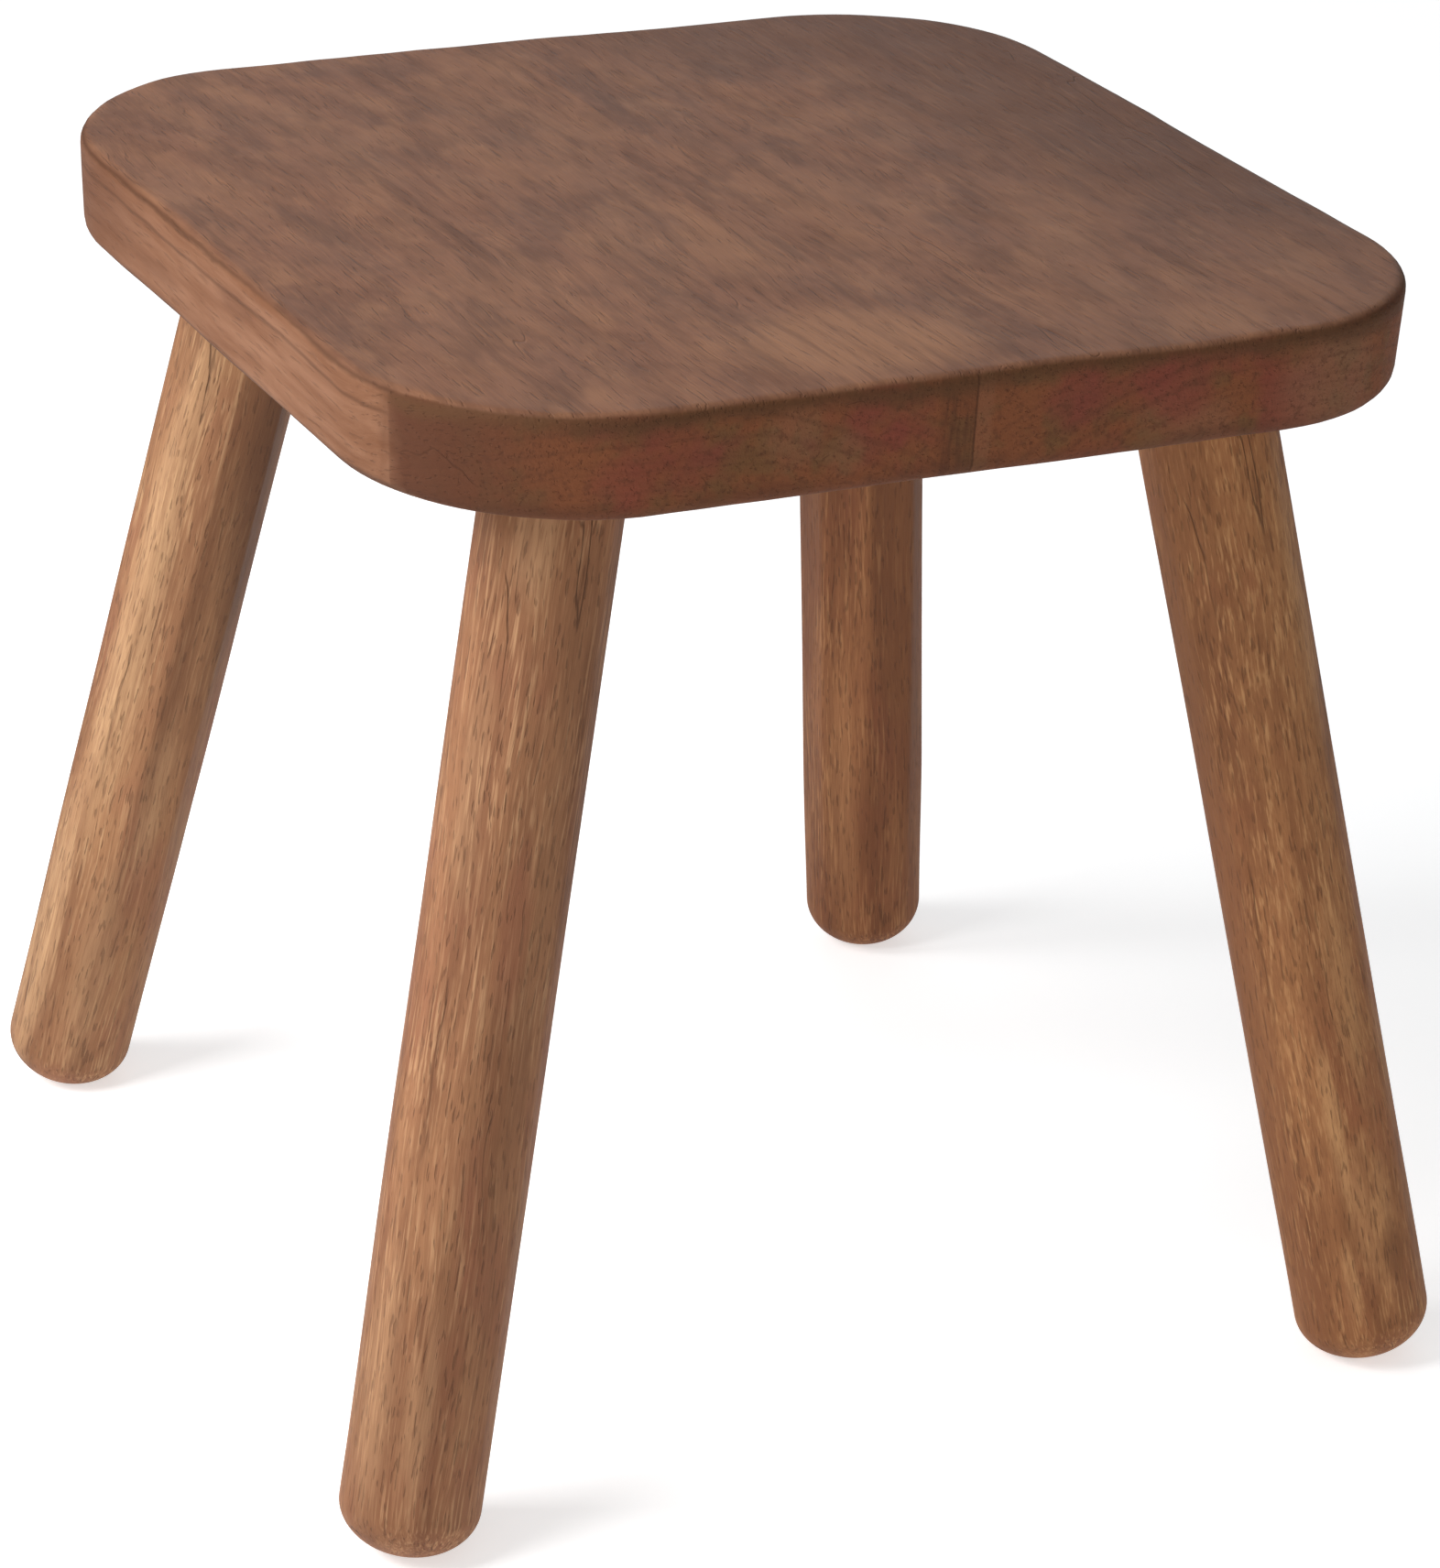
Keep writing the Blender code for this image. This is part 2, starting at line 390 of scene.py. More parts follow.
class GrainStreaks(WoodEffect):
    """Long soft streaks with fine fibres between them."""

    name = "grain_streaks"
    sizes = {"Width": 0.004, "Length": 0.06}
    results = ("Streak", "Fibre")
    fineness = (5.0, 5.0, 2.2)

    def draw(self, bench: NodeBench, given: bpy.types.NodeOutputs) -> list[Socket]:
        """Sample noise drawn out along the grain, once broad and once fine.

        Args:
            bench: the bench of the group's own tree.
            given: the group's inputs by name.

        Returns:
            The streaks and the fibres.
        """
        broad = stretched(bench, given["Place"], given["Width"], given["Length"])
        fine = bench.vector("MULTIPLY", broad, self.fineness)
        return [bench.noise(broad, 1.0, 4.0, 0.55), bench.noise(fine, 1.0, 2.0, 0.6)]


class GrainPores(WoodEffect):
    """Short dark dashes where the wood's vessels lie open."""

    name = "grain_pores"
    sizes = {"Width": 0.0006, "Length": 0.006, "Rarity": 0.6}
    results = ("Pore",)
    edge = 0.10

    def draw(self, bench: NodeBench, given: bpy.types.NodeOutputs) -> list[Socket]:
        """Keep only the highest parts of fine drawn-out noise.

        Args:
            bench: the bench of the group's own tree.
            given: the group's inputs by name.

        Returns:
            The pores.
        """
        fine = stretched(bench, given["Place"], given["Width"], given["Length"])
        level = bench.noise(fine, 1.0, 1.0, 0.5)
        full = bench.value("ADD", given["Rarity"], self.edge)
        return [bench.step(level, given["Rarity"], full)]


class StainMottle(WoodEffect):
    """Clouds of darker and lighter stain, and of redder and yellower wood."""

    name = "stain_mottle"
    sizes = {"Size": 0.05}
    results = ("Cloud", "Warmth")
    lengthening = 1.9
    apart = (4.7, 9.1, 2.3)

    def draw(self, bench: NodeBench, given: bpy.types.NodeOutputs) -> list[Socket]:
        """Sample two unlike clouds, drawn out a little along the grain.

        Args:
            bench: the bench of the group's own tree.
            given: the group's inputs by name.

        Returns:
            The clouds and the warmth.
        """
        long_size = bench.value("MULTIPLY", given["Size"], self.lengthening)
        soft = stretched(bench, given["Place"], given["Size"], long_size)
        cloud = bench.noise(soft, 1.0, 4.0, 0.6)
        warmth = bench.noise(bench.vector("ADD", soft, self.apart), 0.7, 3.0, 0.6)
        return [cloud, warmth]


class SeasoningChecks(WoodEffect):
    """Thin drying cracks that follow the grain, few and in clusters."""

    name = "seasoning_checks"
    sizes = {"Width": 0.007, "Length": 0.07, "Fineness": 0.02, "Rarity": 0.5}
    results = ("Check",)
    apart = (2.9, 6.1, 8.3)
    edge = 0.12

    def draw(self, bench: NodeBench, given: bpy.types.NodeOutputs) -> list[Socket]:
        """Draw a thin contour line of long noise, and keep it where a second noise is high.

        Args:
            bench: the bench of the group's own tree.
            given: the group's inputs by name.

        Returns:
            The cracks.
        """
        slow = stretched(bench, given["Place"], given["Width"], given["Length"])
        level = bench.noise(slow, 1.0, 2.0, 0.5)
        away = bench.value("ABSOLUTE", bench.value("SUBTRACT", level, 0.5))
        line = bench.value("SUBTRACT", 1.0, bench.step(away, 0.0, given["Fineness"]))
        where = bench.noise(bench.vector("ADD", slow, self.apart), 0.8, 1.0)
        kept = bench.step(where, given["Rarity"], bench.value("ADD", given["Rarity"], self.edge))
        return [bench.value("MULTIPLY", line, kept)]


class StainPatch(WoodEffect):
    """One soft patch with a ragged edge, longer along the grain than across it: a stain, and on some legs
    painted shade.
    """

    name = "stain_patch"
    sizes = {"Half width": 0.003, "Half length": 0.020, "Raggedness": 0.6}
    points = ("Centre",)
    results = ("Patch",)
    core = 0.35

    def draw(self, bench: NodeBench, given: bpy.types.NodeOutputs) -> list[Socket]:
        """Fade out with the distance from the centre, which noise makes uneven.

        Args:
            bench: the bench of the group's own tree.
            given: the group's inputs by name.

        Returns:
            The patch.
        """
        aside = bench.vector("SUBTRACT", given["Place"], given["Centre"])
        scaled = stretched(bench, aside, given["Half width"], given["Half length"])
        distance = bench.add("ShaderNodeVectorMath", operation="LENGTH")
        bench.feed(distance.inputs[0], scaled)
        torn = bench.noise(bench.vector("ADD", scaled, given["Centre"]), 1.7, 3.0)
        ragged = bench.value("SUBTRACT", torn, 0.5)
        reach = bench.value("MULTIPLY_ADD", ragged, given["Raggedness"], distance.outputs["Value"])
        return [bench.value("SUBTRACT", 1.0, bench.step(reach, self.core, 1.0))]


@dataclass(frozen=True)
class WoodEffects:
    """The shared groups, each built once."""

    wander: GrainWander
    streaks: GrainStreaks
    pores: GrainPores
    mottle: StainMottle
    checks: SeasoningChecks
    patch: StainPatch

    @classmethod
    def build(cls) -> "WoodEffects":
        """Build every group.

        Returns:
            The groups.
        """
        return cls(
            GrainWander(), GrainStreaks(), GrainPores(), StainMottle(), SeasoningChecks(), StainPatch()
        )


@dataclass(frozen=True)
class Mark:
    """A patch of stain on one piece; on some legs a patch of painted shade.

    Attributes:
        centre: its middle, in the place that the piece's grain gives.
        half_width: half its extent across the grain.
        half_length: half its extent along the grain.
        strength: how strongly it colours, from 0 to 1.
    """

    centre: tuple[float, float, float]
    half_width: float
    half_length: float
    strength: float


def apply_marks(
    bench: NodeBench,
    effects: WoodEffects,
    place: Socket,
    colour: Socket,
    marks: tuple[Mark, ...],
    stain: Tint,
) -> Socket:
    """Lay a number of marks on a colour: stains, and on some legs painted shade.

    Args:
        bench: the bench of the material's tree.
        effects: the shared groups.
        place: the position along the grain, in which the marks have their centres.
        colour: the colour so far.
        marks: the marks.
        stain: the colour of them all.

    Returns:
        The colour with its marks.
    """
    for mark in marks:
        (patch,) = effects.patch.use(
            bench,
            place,
            half_width=mark.half_width,
            half_length=mark.half_length,
            centre=mark.centre,
        )
        colour = bench.tinge(colour, stain, patch, mark.strength)
    return colour


def new_material(name: str) -> tuple[bpy.types.Material, NodeBench, bpy.types.Node]:
    """Make an empty wood material.

    Args:
        name: the material's name.

    Returns:
        The material, the bench of its tree, and its Principled shader.
    """
    material = bpy.data.materials.new(name)
    material.use_nodes = True
    return material, NodeBench(material.node_tree), material.node_tree.nodes["Principled BSDF"]


def grain_place(bench: NodeBench, origin: Vector, turn: Matrix) -> Socket:
    """Turn Object coordinates into a place whose Z runs along the grain.

    Args:
        bench: the bench of the material's tree.
        origin: the point that becomes zero.
        turn: the rotation that takes Z to the grain's direction.

    Returns:
        The place, in metres.
    """
    mapping = bench.add("ShaderNodeMapping", vector_type="TEXTURE")
    mapping.inputs["Location"].default_value = origin
    mapping.inputs["Rotation"].default_value = turn.to_euler()
    bench.feed(mapping.inputs["Vector"], bench.add("ShaderNodeTexCoord").outputs["Object"])
    return mapping.outputs["Vector"]


def add_bump(bench: NodeBench, shader: bpy.types.Node, height: Socket, depth: float) -> None:
    """Raise a shader's surface.

    Args:
        bench: the bench of the material's tree.
        shader: the material's Principled shader.
        height: the height, from 0 to 1.
        depth: what a height of 1 stands for, in metres.
    """
    bump = bench.add("ShaderNodeBump")
    bump.inputs["Strength"].default_value = 1.0
    bump.inputs["Distance"].default_value = depth
    bench.feed(bump.inputs["Height"], height)
    bench.feed(shader.inputs["Normal"], bump.outputs["Normal"])


# ------------------------------------------------------------------------------ finishes


@dataclass(frozen=True)
class LegMarks:
    """The pale, dark and red marks of one leg and its painted shade, centred in the upright leg's own axes.
    """

    pale: tuple[Mark, ...] = ()
    dark: tuple[Mark, ...] = ()
    red: tuple[Mark, ...] = ()
    # Patches of painted shade.
    grimy: tuple[Mark, ...] = ()


@dataclass(frozen=True)
class LegFinish:
    """Golden-brown stain on long grain, with pale fibres, dark pores and fine drying cracks.

    Widths, lengths and sizes are in metres, and a ramp runs from its first value to its second.
    """

    wood: Tint = (0.285, 0.128, 0.052)
    dark: Tint = (0.165, 0.065, 0.026)
    pale: Tint = (0.450, 0.245, 0.110)
    red: Tint = (0.235, 0.084, 0.038)
    pore: Tint = (0.075, 0.030, 0.013)
    streak_width: float = 0.0040
    streak_length: float = 0.050
    broad_width: float = 0.012
    broad_length: float = 0.14
    fine_width: float = 0.0026
    fine_length: float = 0.022
    pore_width: float = 0.0008
    pore_length: float = 0.006
    cloud_size: float = 0.022
    broad_ramp: tuple[float, float] = (0.32, 0.62)
    cloud_ramp: tuple[float, float] = (0.30, 0.62)
    red_wood: Layer = Layer(0.45, 0.72, 0.80)
    dark_streaks: Layer = Layer(0.30, 0.54, 0.50, where_low=True)
    pale_fibres: Layer = Layer(0.48, 0.68, 0.65)
    dark_fibres: Layer = Layer(0.32, 0.50, 0.45, where_low=True)
    pore_strength: float = 0.38
    check_strength: float = 0.72
    specular: float = 0.2
    relief: float = 0.0005

    def material(
        self, name: str, effects: WoodEffects, origin: Vector, turn: Matrix, tone: Tint, marks: "LegMarks"
    ) -> bpy.types.Material:
        """Make the material of one leg.

        Args:
            name: the material's name.
            effects: the shared groups.
            origin: the middle of the leg's foot.
            turn: the rotation that stands the leg in its place.
            tone: what this leg's colours are multiplied by, since each took the stain its own way.
            marks: this leg's own marks.

        Returns:
            The material.
        """
        material, bench, shader = new_material(name)
        place = grain_place(bench, origin, turn)
        bent = bench.join_xyz(*effects.wander.use(bench, place, reach=0.010, length=0.11))
        streak, fibre = effects.streaks.use(bench, bent, width=self.streak_width, length=self.streak_length)
        broad, _ = effects.streaks.use(bench, bent, width=self.broad_width, length=self.broad_length)
        _, fine = effects.streaks.use(bench, bent, width=self.fine_width, length=self.fine_length)
        (pore,) = effects.pores.use(bench, bent, width=self.pore_width, length=self.pore_length, rarity=0.60)
        cloud, warmth = effects.mottle.use(bench, place, size=self.cloud_size)
        (check,) = effects.checks.use(bench, bent, width=0.008, length=0.09, fineness=0.012, rarity=0.56)

        colour = bench.mix(bench.step(broad, *self.broad_ramp), self.dark, self.wood)
        colour = bench.lay(colour, self.red, warmth, self.red_wood)
        colour = apply_marks(bench, effects, place, colour, marks.pale, self.pale)
        colour = bench.lay(colour, self.dark, streak, self.dark_streaks)
        raised = bench.step(fibre, self.pale_fibres.low, self.pale_fibres.high)
        raised = bench.value("MULTIPLY", raised, bench.step(cloud, *self.cloud_ramp))
        colour = bench.tinge(colour, self.pale, raised, self.pale_fibres.strength)
        colour = bench.lay(colour, self.dark, fine, self.dark_fibres)
        # The last group of marks is painted shade, laid in the pores' dark colour.
        for stains_and_shade, tint in ((marks.red, self.red), (marks.dark, self.dark), (marks.grimy, self.pore)):
            colour = apply_marks(bench, effects, place, colour, stains_and_shade, tint)
        colour = bench.tinge(colour, self.pore, pore, self.pore_strength)
        colour = bench.tinge(colour, self.pore, check, self.check_strength)
        colour = bench.mix(1.0, colour, tone, "MULTIPLY")
        bench.feed(shader.inputs["Base Color"], colour)

        dull = bench.value("MULTIPLY_ADD", fibre, 0.25, 0.58)
        bench.feed(shader.inputs["Roughness"], dull)
        shader.inputs["Specular IOR Level"].default_value = self.specular
        height: Socket | float = 0.5
        for field, share in ((fibre, 0.45), (pore, -0.35), (check, -0.60)):
            height = bench.value("MULTIPLY_ADD", field, share, height)
        add_bump(bench, shader, height, self.relief)
        return material


TOP_STREAKS = (
    Mark((-0.082, -0.301, 0.022), 0.0040, 0.026, 0.60),
    Mark((-0.081, -0.301, -0.018), 0.0034, 0.030, 0.75),
    Mark((-0.112, -0.301, 0.004), 0.0040, 0.018, 0.50),
    Mark((-0.011, -0.301, 0.030), 0.0036, 0.014, 0.60),
    Mark((-0.027, -0.301, 0.002), 0.0028, 0.022, 0.45),
    Mark((-0.011, -0.301, -0.006), 0.0022, 0.014, 0.55),
    Mark((0.003, -0.301, 0.085), 0.0040, 0.018, 0.50),
    Mark((0.029, -0.301, 0.024), 0.0040, 0.016, 0.50),
    Mark((-0.006, -0.301, -0.048), 0.0026, 0.016, 0.50),
    Mark((-0.007, -0.301, -0.084), 0.0030, 0.016, 0.60),
    Mark((0.059, -0.301, -0.036), 0.0090, 0.020, 0.40),
    Mark((-0.048, -0.301, -0.100), 0.0024, 0.018, 0.45),
    Mark((0.044, -0.301, 0.098), 0.0080, 0.016, 0.40),
    Mark((0.086, -0.301, -0.090), 0.0050, 0.020, 0.40),
    # The last two, broad marks darken the top towards its right end and its back right corner.
    Mark((0.135, -0.301, 0.030), 0.0750, 0.150, 0.72),
    Mark((0.080, -0.301, 0.145), 0.0900, 0.070, 0.55),
)
TOP_WEAR = (
    Mark((-0.020, -0.301, -0.116), 0.0450, 0.030, 0.84),
    Mark((-0.026, -0.301, -0.030), 0.0300, 0.040, 0.24),
    Mark((-0.075, -0.301, -0.074), 0.0060, 0.020, 0.40),
    Mark((-0.017, -0.301, -0.022), 0.0040, 0.018, 0.40),
    Mark((0.072, -0.301, -0.130), 0.0200, 0.014, 0.45),
    Mark((0.080, -0.301, 0.085), 0.0080, 0.018, 0.30),
    Mark((-0.050, -0.301, 0.060), 0.0100, 0.030, 0.30),
)
FRONT_SWIRLS = (
    Mark((-0.052, -0.290, -0.145), 0.0110, 0.030, 0.26),
    Mark((-0.038, -0.284, -0.145), 0.0080, 0.030, 0.22),
    Mark((0.050, -0.282, -0.145), 0.0120, 0.030, 0.18),
    Mark((0.100, -0.284, -0.142), 0.0240, 0.030, 0.50),
    Mark((0.062, -0.277, -0.145), 0.0120, 0.030, 0.30),
)
FRONT_BLUSHES = (
    Mark((-0.095, -0.283, -0.143), 0.0110, 0.030, 0.50),
    Mark((-0.025, -0.287, -0.145), 0.0055, 0.030, 0.70),
    Mark((0.024, -0.290, -0.145), 0.0110, 0.030, 0.60),
    Mark((0.054, -0.291, -0.145), 0.0140, 0.030, 0.60),
)
SIDE_STAINS = (
    Mark((-0.145, -0.287, 0.135), 0.0400, 0.110, 0.62),
    Mark((-0.145, -0.292, -0.020), 0.0050, 0.016, 0.30),
    Mark((-0.145, -0.283, 0.035), 0.0040, 0.020, 0.30),
)


@dataclass(frozen=True)
class EdgeLine:
    """A dark line along an edge of the seat: gathered finish on the sides, painted shade on the ends.

    Attributes:
        below: how far its middle runs under the edge that it follows.
        half_width: half its width.
        strength: how strongly it colours, from 0 to 1.
    """

    below: float
    half_width: float
    strength: float


FLANK_LINES = (
    EdgeLine(0.0015, 0.0013, 0.65),
    EdgeLine(0.0072, 0.0011, 0.45),
    EdgeLine(0.0262, 0.0018, 0.60),
)


@dataclass(frozen=True)
class BoardSurface:
    """What the colours of one board are laid on.

    Attributes:
        bench: the bench of the material's tree.
        effects: the shared groups.
        plan: the stool's sizes.
        side: which board it is.
        fixed: the position along the grain, the same for both boards.
        place: the same with the board's own offset, so that the boards' figures differ.
        streak: the streaks.
        fibre: the fibres.
        cloud: the clouds of darker stain.
        warmth: where the wood is redder.
        end: 1 on end grain, 0 on long grain.
    """

    bench: NodeBench
    effects: WoodEffects
    plan: "StoolPlan"
    side: BoardSide
    fixed: Socket
    place: Socket
    streak: Socket
    fibre: Socket
    cloud: Socket
    warmth: Socket
    end: Socket

    def mark(self, colour: Socket, marks: tuple[Mark, ...], stain: Tint) -> Socket:
        """Stain a colour with a number of marks of one tint."""
        return apply_marks(self.bench, self.effects, self.fixed, colour, marks, stain)


@dataclass(frozen=True)
class SeatFinish:
    """The seat's stain: worn to a greyed brown on top, warm on the sides, dark on the end grain, with
    painted shade along the ends' rounded edges and where they turn towards the light.

    Widths, lengths and sizes are in metres, densities are per metre, and a ramp runs from its
    first value to its second.  A facing is the share of the normal that points that way.
    """

    top: Tint = (0.176, 0.078, 0.0445)
    top_dark: Tint = (0.096, 0.041, 0.023)
    top_pale: Tint = (0.258, 0.122, 0.063)
    side: Tint = (0.150, 0.063, 0.031)
    side_pale: Tint = (0.220, 0.106, 0.060)
    end: Tint = (0.178, 0.060, 0.025)
    end_red: Tint = (0.172, 0.040, 0.028)
    end_olive: Tint = (0.140, 0.062, 0.025)
    end_dark: Tint = (0.078, 0.029, 0.015)
    # The colour of the painted shade just under the top edge of the ends.
    edge: Tint = (0.090, 0.040, 0.018)
    grime: Tint = (0.050, 0.020, 0.010)
    board_offset: tuple[float, float] = (0.31, 0.07)
    cloud_size: float = 0.022
    blot_size: float = 0.009
    streak_width: float = 0.0045
    streak_length: float = 0.045
    pore_width: float = 0.0009
    pore_length: float = 0.010
    top_haze: Layer = Layer(0.32, 0.62, 0.34)
    top_blots: Layer = Layer(0.34, 0.62, 0.54)
    least_haze: float = 0.22
    warm_patches: Layer = Layer(0.40, 0.72, 0.35)
    rubbed_spots: Layer = Layer(0.46, 0.70, 0.42)
    top_streaks: Layer = Layer(0.30, 0.52, 0.50, where_low=True)
    top_fibres: Layer = Layer(0.48, 0.75, 0.25)
    side_ramp: tuple[float, float] = (0.25, 0.75)
    side_clouds: Layer = Layer(0.45, 0.70, 0.45)
    side_fibres: Layer = Layer(0.48, 0.70, 0.25)
    end_ramp: tuple[float, float] = (0.38, 0.56)
    end_patch_density: float = 75.0
    end_warmth: Layer = Layer(0.46, 0.64, 0.70)
    end_rings: Layer = Layer(0.45, 0.70, 0.30)
    ring_density: float = 420.0
    ring_wander: float = 3.0
    pith_aside: float = 0.085
    pith_below: float = 0.165
    end_specks: Layer = Layer(0.53, 0.68, 0.42)
    speck_density: float = 480.0
    upright_density: tuple[float, float, float] = (900.0, 60.0, 60.0)
    dark_strip: Layer = Layer(-0.0110, -0.0095)
    strip_grain: Layer = Layer(0.35, 0.60, 0.45)
    strip_strength: float = 0.70
    pale_strip: Layer = Layer(0.0035, 0.0055, 0.22, where_low=True)
    top_facing: tuple[float, float] = (0.60, 0.95)
    end_facing: tuple[float, float] = (0.38, 0.50)
    end_raggedness: float = 0.16
    # Painted shade: darkens the end grain where it turns to face left, towards the window light.
    corner: Layer = Layer(0.15, 0.85, 0.92)
    pore_strength: float = 0.15
    check_strength: float = 0.20
    dullness: float = 0.68
    dull_clouds: float = 0.20
    top_polish: float = 0.24
    specular: float = 0.11
    relief: float = 0.0006
    band_sway: float = 0.009
    line_sway: float = 0.004
    # Painted shade in bands along the rounded top and bottom edges of the ends.
    upper_band: EdgeLine = EdgeLine(0.0022, 0.0052, 0.85)
    lower_band: EdgeLine = EdgeLine(-0.001, 0.0055, 0.65)
    joint_half_width: float = 0.0005
    joint_strength: float = 0.60
    flank_lines: tuple[EdgeLine, ...] = FLANK_LINES
    streaks: tuple[Mark, ...] = TOP_STREAKS
    wear: tuple[Mark, ...] = TOP_WEAR
    swirls: tuple[Mark, ...] = FRONT_SWIRLS
    blushes: tuple[Mark, ...] = FRONT_BLUSHES
    stains: tuple[Mark, ...] = SIDE_STAINS

    def material(
        self, name: str, effects: WoodEffects, plan: "StoolPlan", side: BoardSide
    ) -> bpy.types.Material:
        """Make the material of one board.

        Args:
            name: the material's name.
            effects: the shared groups.
            plan: the stool's sizes.
            side: which board it is; each is cut from another part of the tree.

        Returns:
            The material.
        """
        material, bench, shader = new_material(name)
        fixed = grain_place(bench, Vector(), Matrix.Rotation(math.radians(-90), 3, "X"))
        offset_across, offset_along = (part * side.value for part in self.board_offset)
        place = bench.vector("ADD", fixed, (offset_across, 0.0, offset_along))
        normal = bench.add("ShaderNodeNewGeometry").outputs["Normal"]
        facing_x, facing_y, facing_up = bench.xyz(normal)
        cloud, warmth = effects.mottle.use(bench, place, size=self.cloud_size)
        top = bench.step(facing_up, *self.top_facing)
        sideways = bench.value("ABSOLUTE", facing_y)
        ragged = bench.value("MULTIPLY_ADD", cloud, self.end_raggedness, sideways)
        end = bench.step(ragged, *self.end_facing)

        bent = bench.join_xyz(*effects.wander.use(bench, place, reach=0.014, length=0.12))
        streak, fibre = effects.streaks.use(bench, bent, width=self.streak_width, length=self.streak_length)
        (pore,) = effects.pores.use(bench, bent, width=self.pore_width, length=self.pore_length, rarity=0.61)
        (check,) = effects.checks.use(bench, bent, width=0.014, length=0.10, fineness=0.010, rarity=0.60)
        board = BoardSurface(bench, effects, plan, side, fixed, place, streak, fibre, cloud, warmth, end)

        # Painted shade: the end grain is darkened where it faces left, towards the window light.
        leftwards = bench.value("MULTIPLY", facing_x, -1.0)
        ends = bench.lay(self._end_colour(board), self.end_dark, leftwards, self.corner)
        colour = bench.mix(end, self._side_colour(board), ends)
        colour = self._edge_lines(board, colour)
        colour = bench.mix(top, colour, self._top_colour(board))
        colour = bench.tinge(colour, self.grime, pore, self.pore_strength)
        colour = bench.tinge(colour, self.grime, check, self.check_strength)
        bench.feed(shader.inputs["Base Color"], colour)

        dull = bench.value("MULTIPLY_ADD", cloud, self.dull_clouds, self.dullness)
        dull = bench.value("MULTIPLY_ADD", top, -self.top_polish, dull)
        bench.feed(shader.inputs["Roughness"], dull)
        shader.inputs["Specular IOR Level"].default_value = self.specular
        height: Socket | float = 0.5
        for field, share in ((fibre, 0.30), (streak, 0.35), (pore, -0.25), (check, -0.30)):
            height = bench.value("MULTIPLY_ADD", field, share, height)
        add_bump(bench, shader, height, self.relief)
        return material

    def _top_colour(self, board: BoardSurface) -> Socket:
        """Colour the worn top: soft clouds and short streaks, and the marks of use.

        Args:
            board: the board's surface.

        Returns:
            The colour of the top.
        """
        bench = board.bench
        blot, shine = board.effects.mottle.use(bench, board.fixed, size=self.blot_size)
        haze: Socket | float = self.least_haze
        for field, layer in ((board.cloud, self.top_haze), (blot, self.top_blots)):
            ramp = bench.step(field, layer.low, layer.high)
            haze = bench.value("MULTIPLY_ADD", ramp, layer.strength, haze, clamp=True)
        colour = bench.mix(haze, self.top_dark, self.top)
        colour = bench.lay(colour, self.top_pale, board.warmth, self.warm_patches)
        colour = bench.lay(colour, self.top_pale, shine, self.rubbed_spots)
        colour = board.mark(colour, self.wear, self.top_pale)
        colour = board.mark(colour, self.streaks, self.top_dark)
        colour = bench.lay(colour, self.top_dark, board.streak, self.top_streaks)
        return bench.lay(colour, self.top_pale, board.fibre, self.top_fibres)

    def _side_colour(self, board: BoardSurface) -> Socket:
        """Colour the long-grain sides: warm, with paler fibres.

        Args:
            board: the board's surface.

        Returns:
            The colour of the sides.
        """
        bench = board.bench
        colour = bench.mix(bench.step(board.streak, *self.side_ramp), self.side, self.side_pale)
        colour = bench.lay(colour, self.side, board.cloud, self.side_clouds)
        colour = bench.lay(colour, self.side_pale, board.fibre, self.side_fibres)
        return board.mark(colour, self.stains, self.end_dark)

    def _end_colour(self, board: BoardSurface) -> Socket:
        """Colour the end grain: faint growth rings, red and olive patches, specks and the joint.

        Args:
            board: the board's surface.

        Returns:
            The colour of the ends.
        """
        bench = board.bench
        across, down, _ = bench.xyz(board.fixed)
        from_pith = bench.join_xyz(
            bench.value("SUBTRACT", across, self.pith_aside * board.side.value),
            bench.value("ADD", down, self.pith_below),
            0.0,
        )
        radius = bench.add("ShaderNodeVectorMath", operation="LENGTH")
        bench.feed(radius.inputs[0], from_pith)
        wander = bench.value("MULTIPLY", board.warmth, self.ring_wander)
        ripple = bench.value("MULTIPLY_ADD", radius.outputs["Value"], self.ring_density, wander)
        ring = bench.noise(bench.join_xyz(ripple, 0.0, 0.0), 1.0, 2.0)
        patch = bench.noise(board.place, self.end_patch_density, 3.0, 0.6)
        colour = bench.mix(bench.step(patch, *self.end_ramp), self.end_olive, self.end)
        colour = bench.lay(colour, self.end_red, board.warmth, self.end_warmth)
        colour = board.mark(colour, self.swirls, self.side_pale)
        colour = board.mark(colour, self.blushes, self.end_red)
        colour = bench.lay(colour, self.end_dark, ring, self.end_rings)
        from_joint = bench.value("SUBTRACT", across, board.plan.joint_x)
        if board.side is BoardSide.LEFT:
            upright = bench.noise(bench.vector("MULTIPLY", board.fixed, self.upright_density), 1.0, 2.0)
            fading = bench.step(upright, self.strip_grain.low, self.strip_grain.high)
            depth = bench.value("MULTIPLY_ADD", fading, -self.strip_grain.strength, self.strip_strength)
            strip = bench.step(from_joint, self.dark_strip.low, self.dark_strip.high)
            colour = bench.mix(bench.value("MULTIPLY", strip, depth), colour, self.end_dark)
        else:
            colour = bench.lay(colour, self.side_pale, from_joint, self.pale_strip)
        speck = bench.noise(board.place, self.speck_density, 2.0, 0.6)
        return bench.lay(colour, self.end_dark, speck, self.end_specks)

    def _edge_lines(self, board: BoardSurface, colour: Socket) -> Socket:
        """Darken the glued joint and the lines where old finish has gathered along the sides, and paint
        shade in bands along the top and bottom edges of the ends.

        Args:
            board: the board's surface.
            colour: the colour so far.

        Returns:
            The colour with its lines.
        """
        bench, plan = board.bench, board.plan
        x, _, z = bench.xyz(bench.add("ShaderNodeTexCoord").outputs["Object"])
        wavy, steady = (
            bench.value("ADD", z, bench.value("MULTIPLY_ADD", board.cloud, sway, -sway / 2))
            for sway in (self.band_sway, self.line_sway)
        )
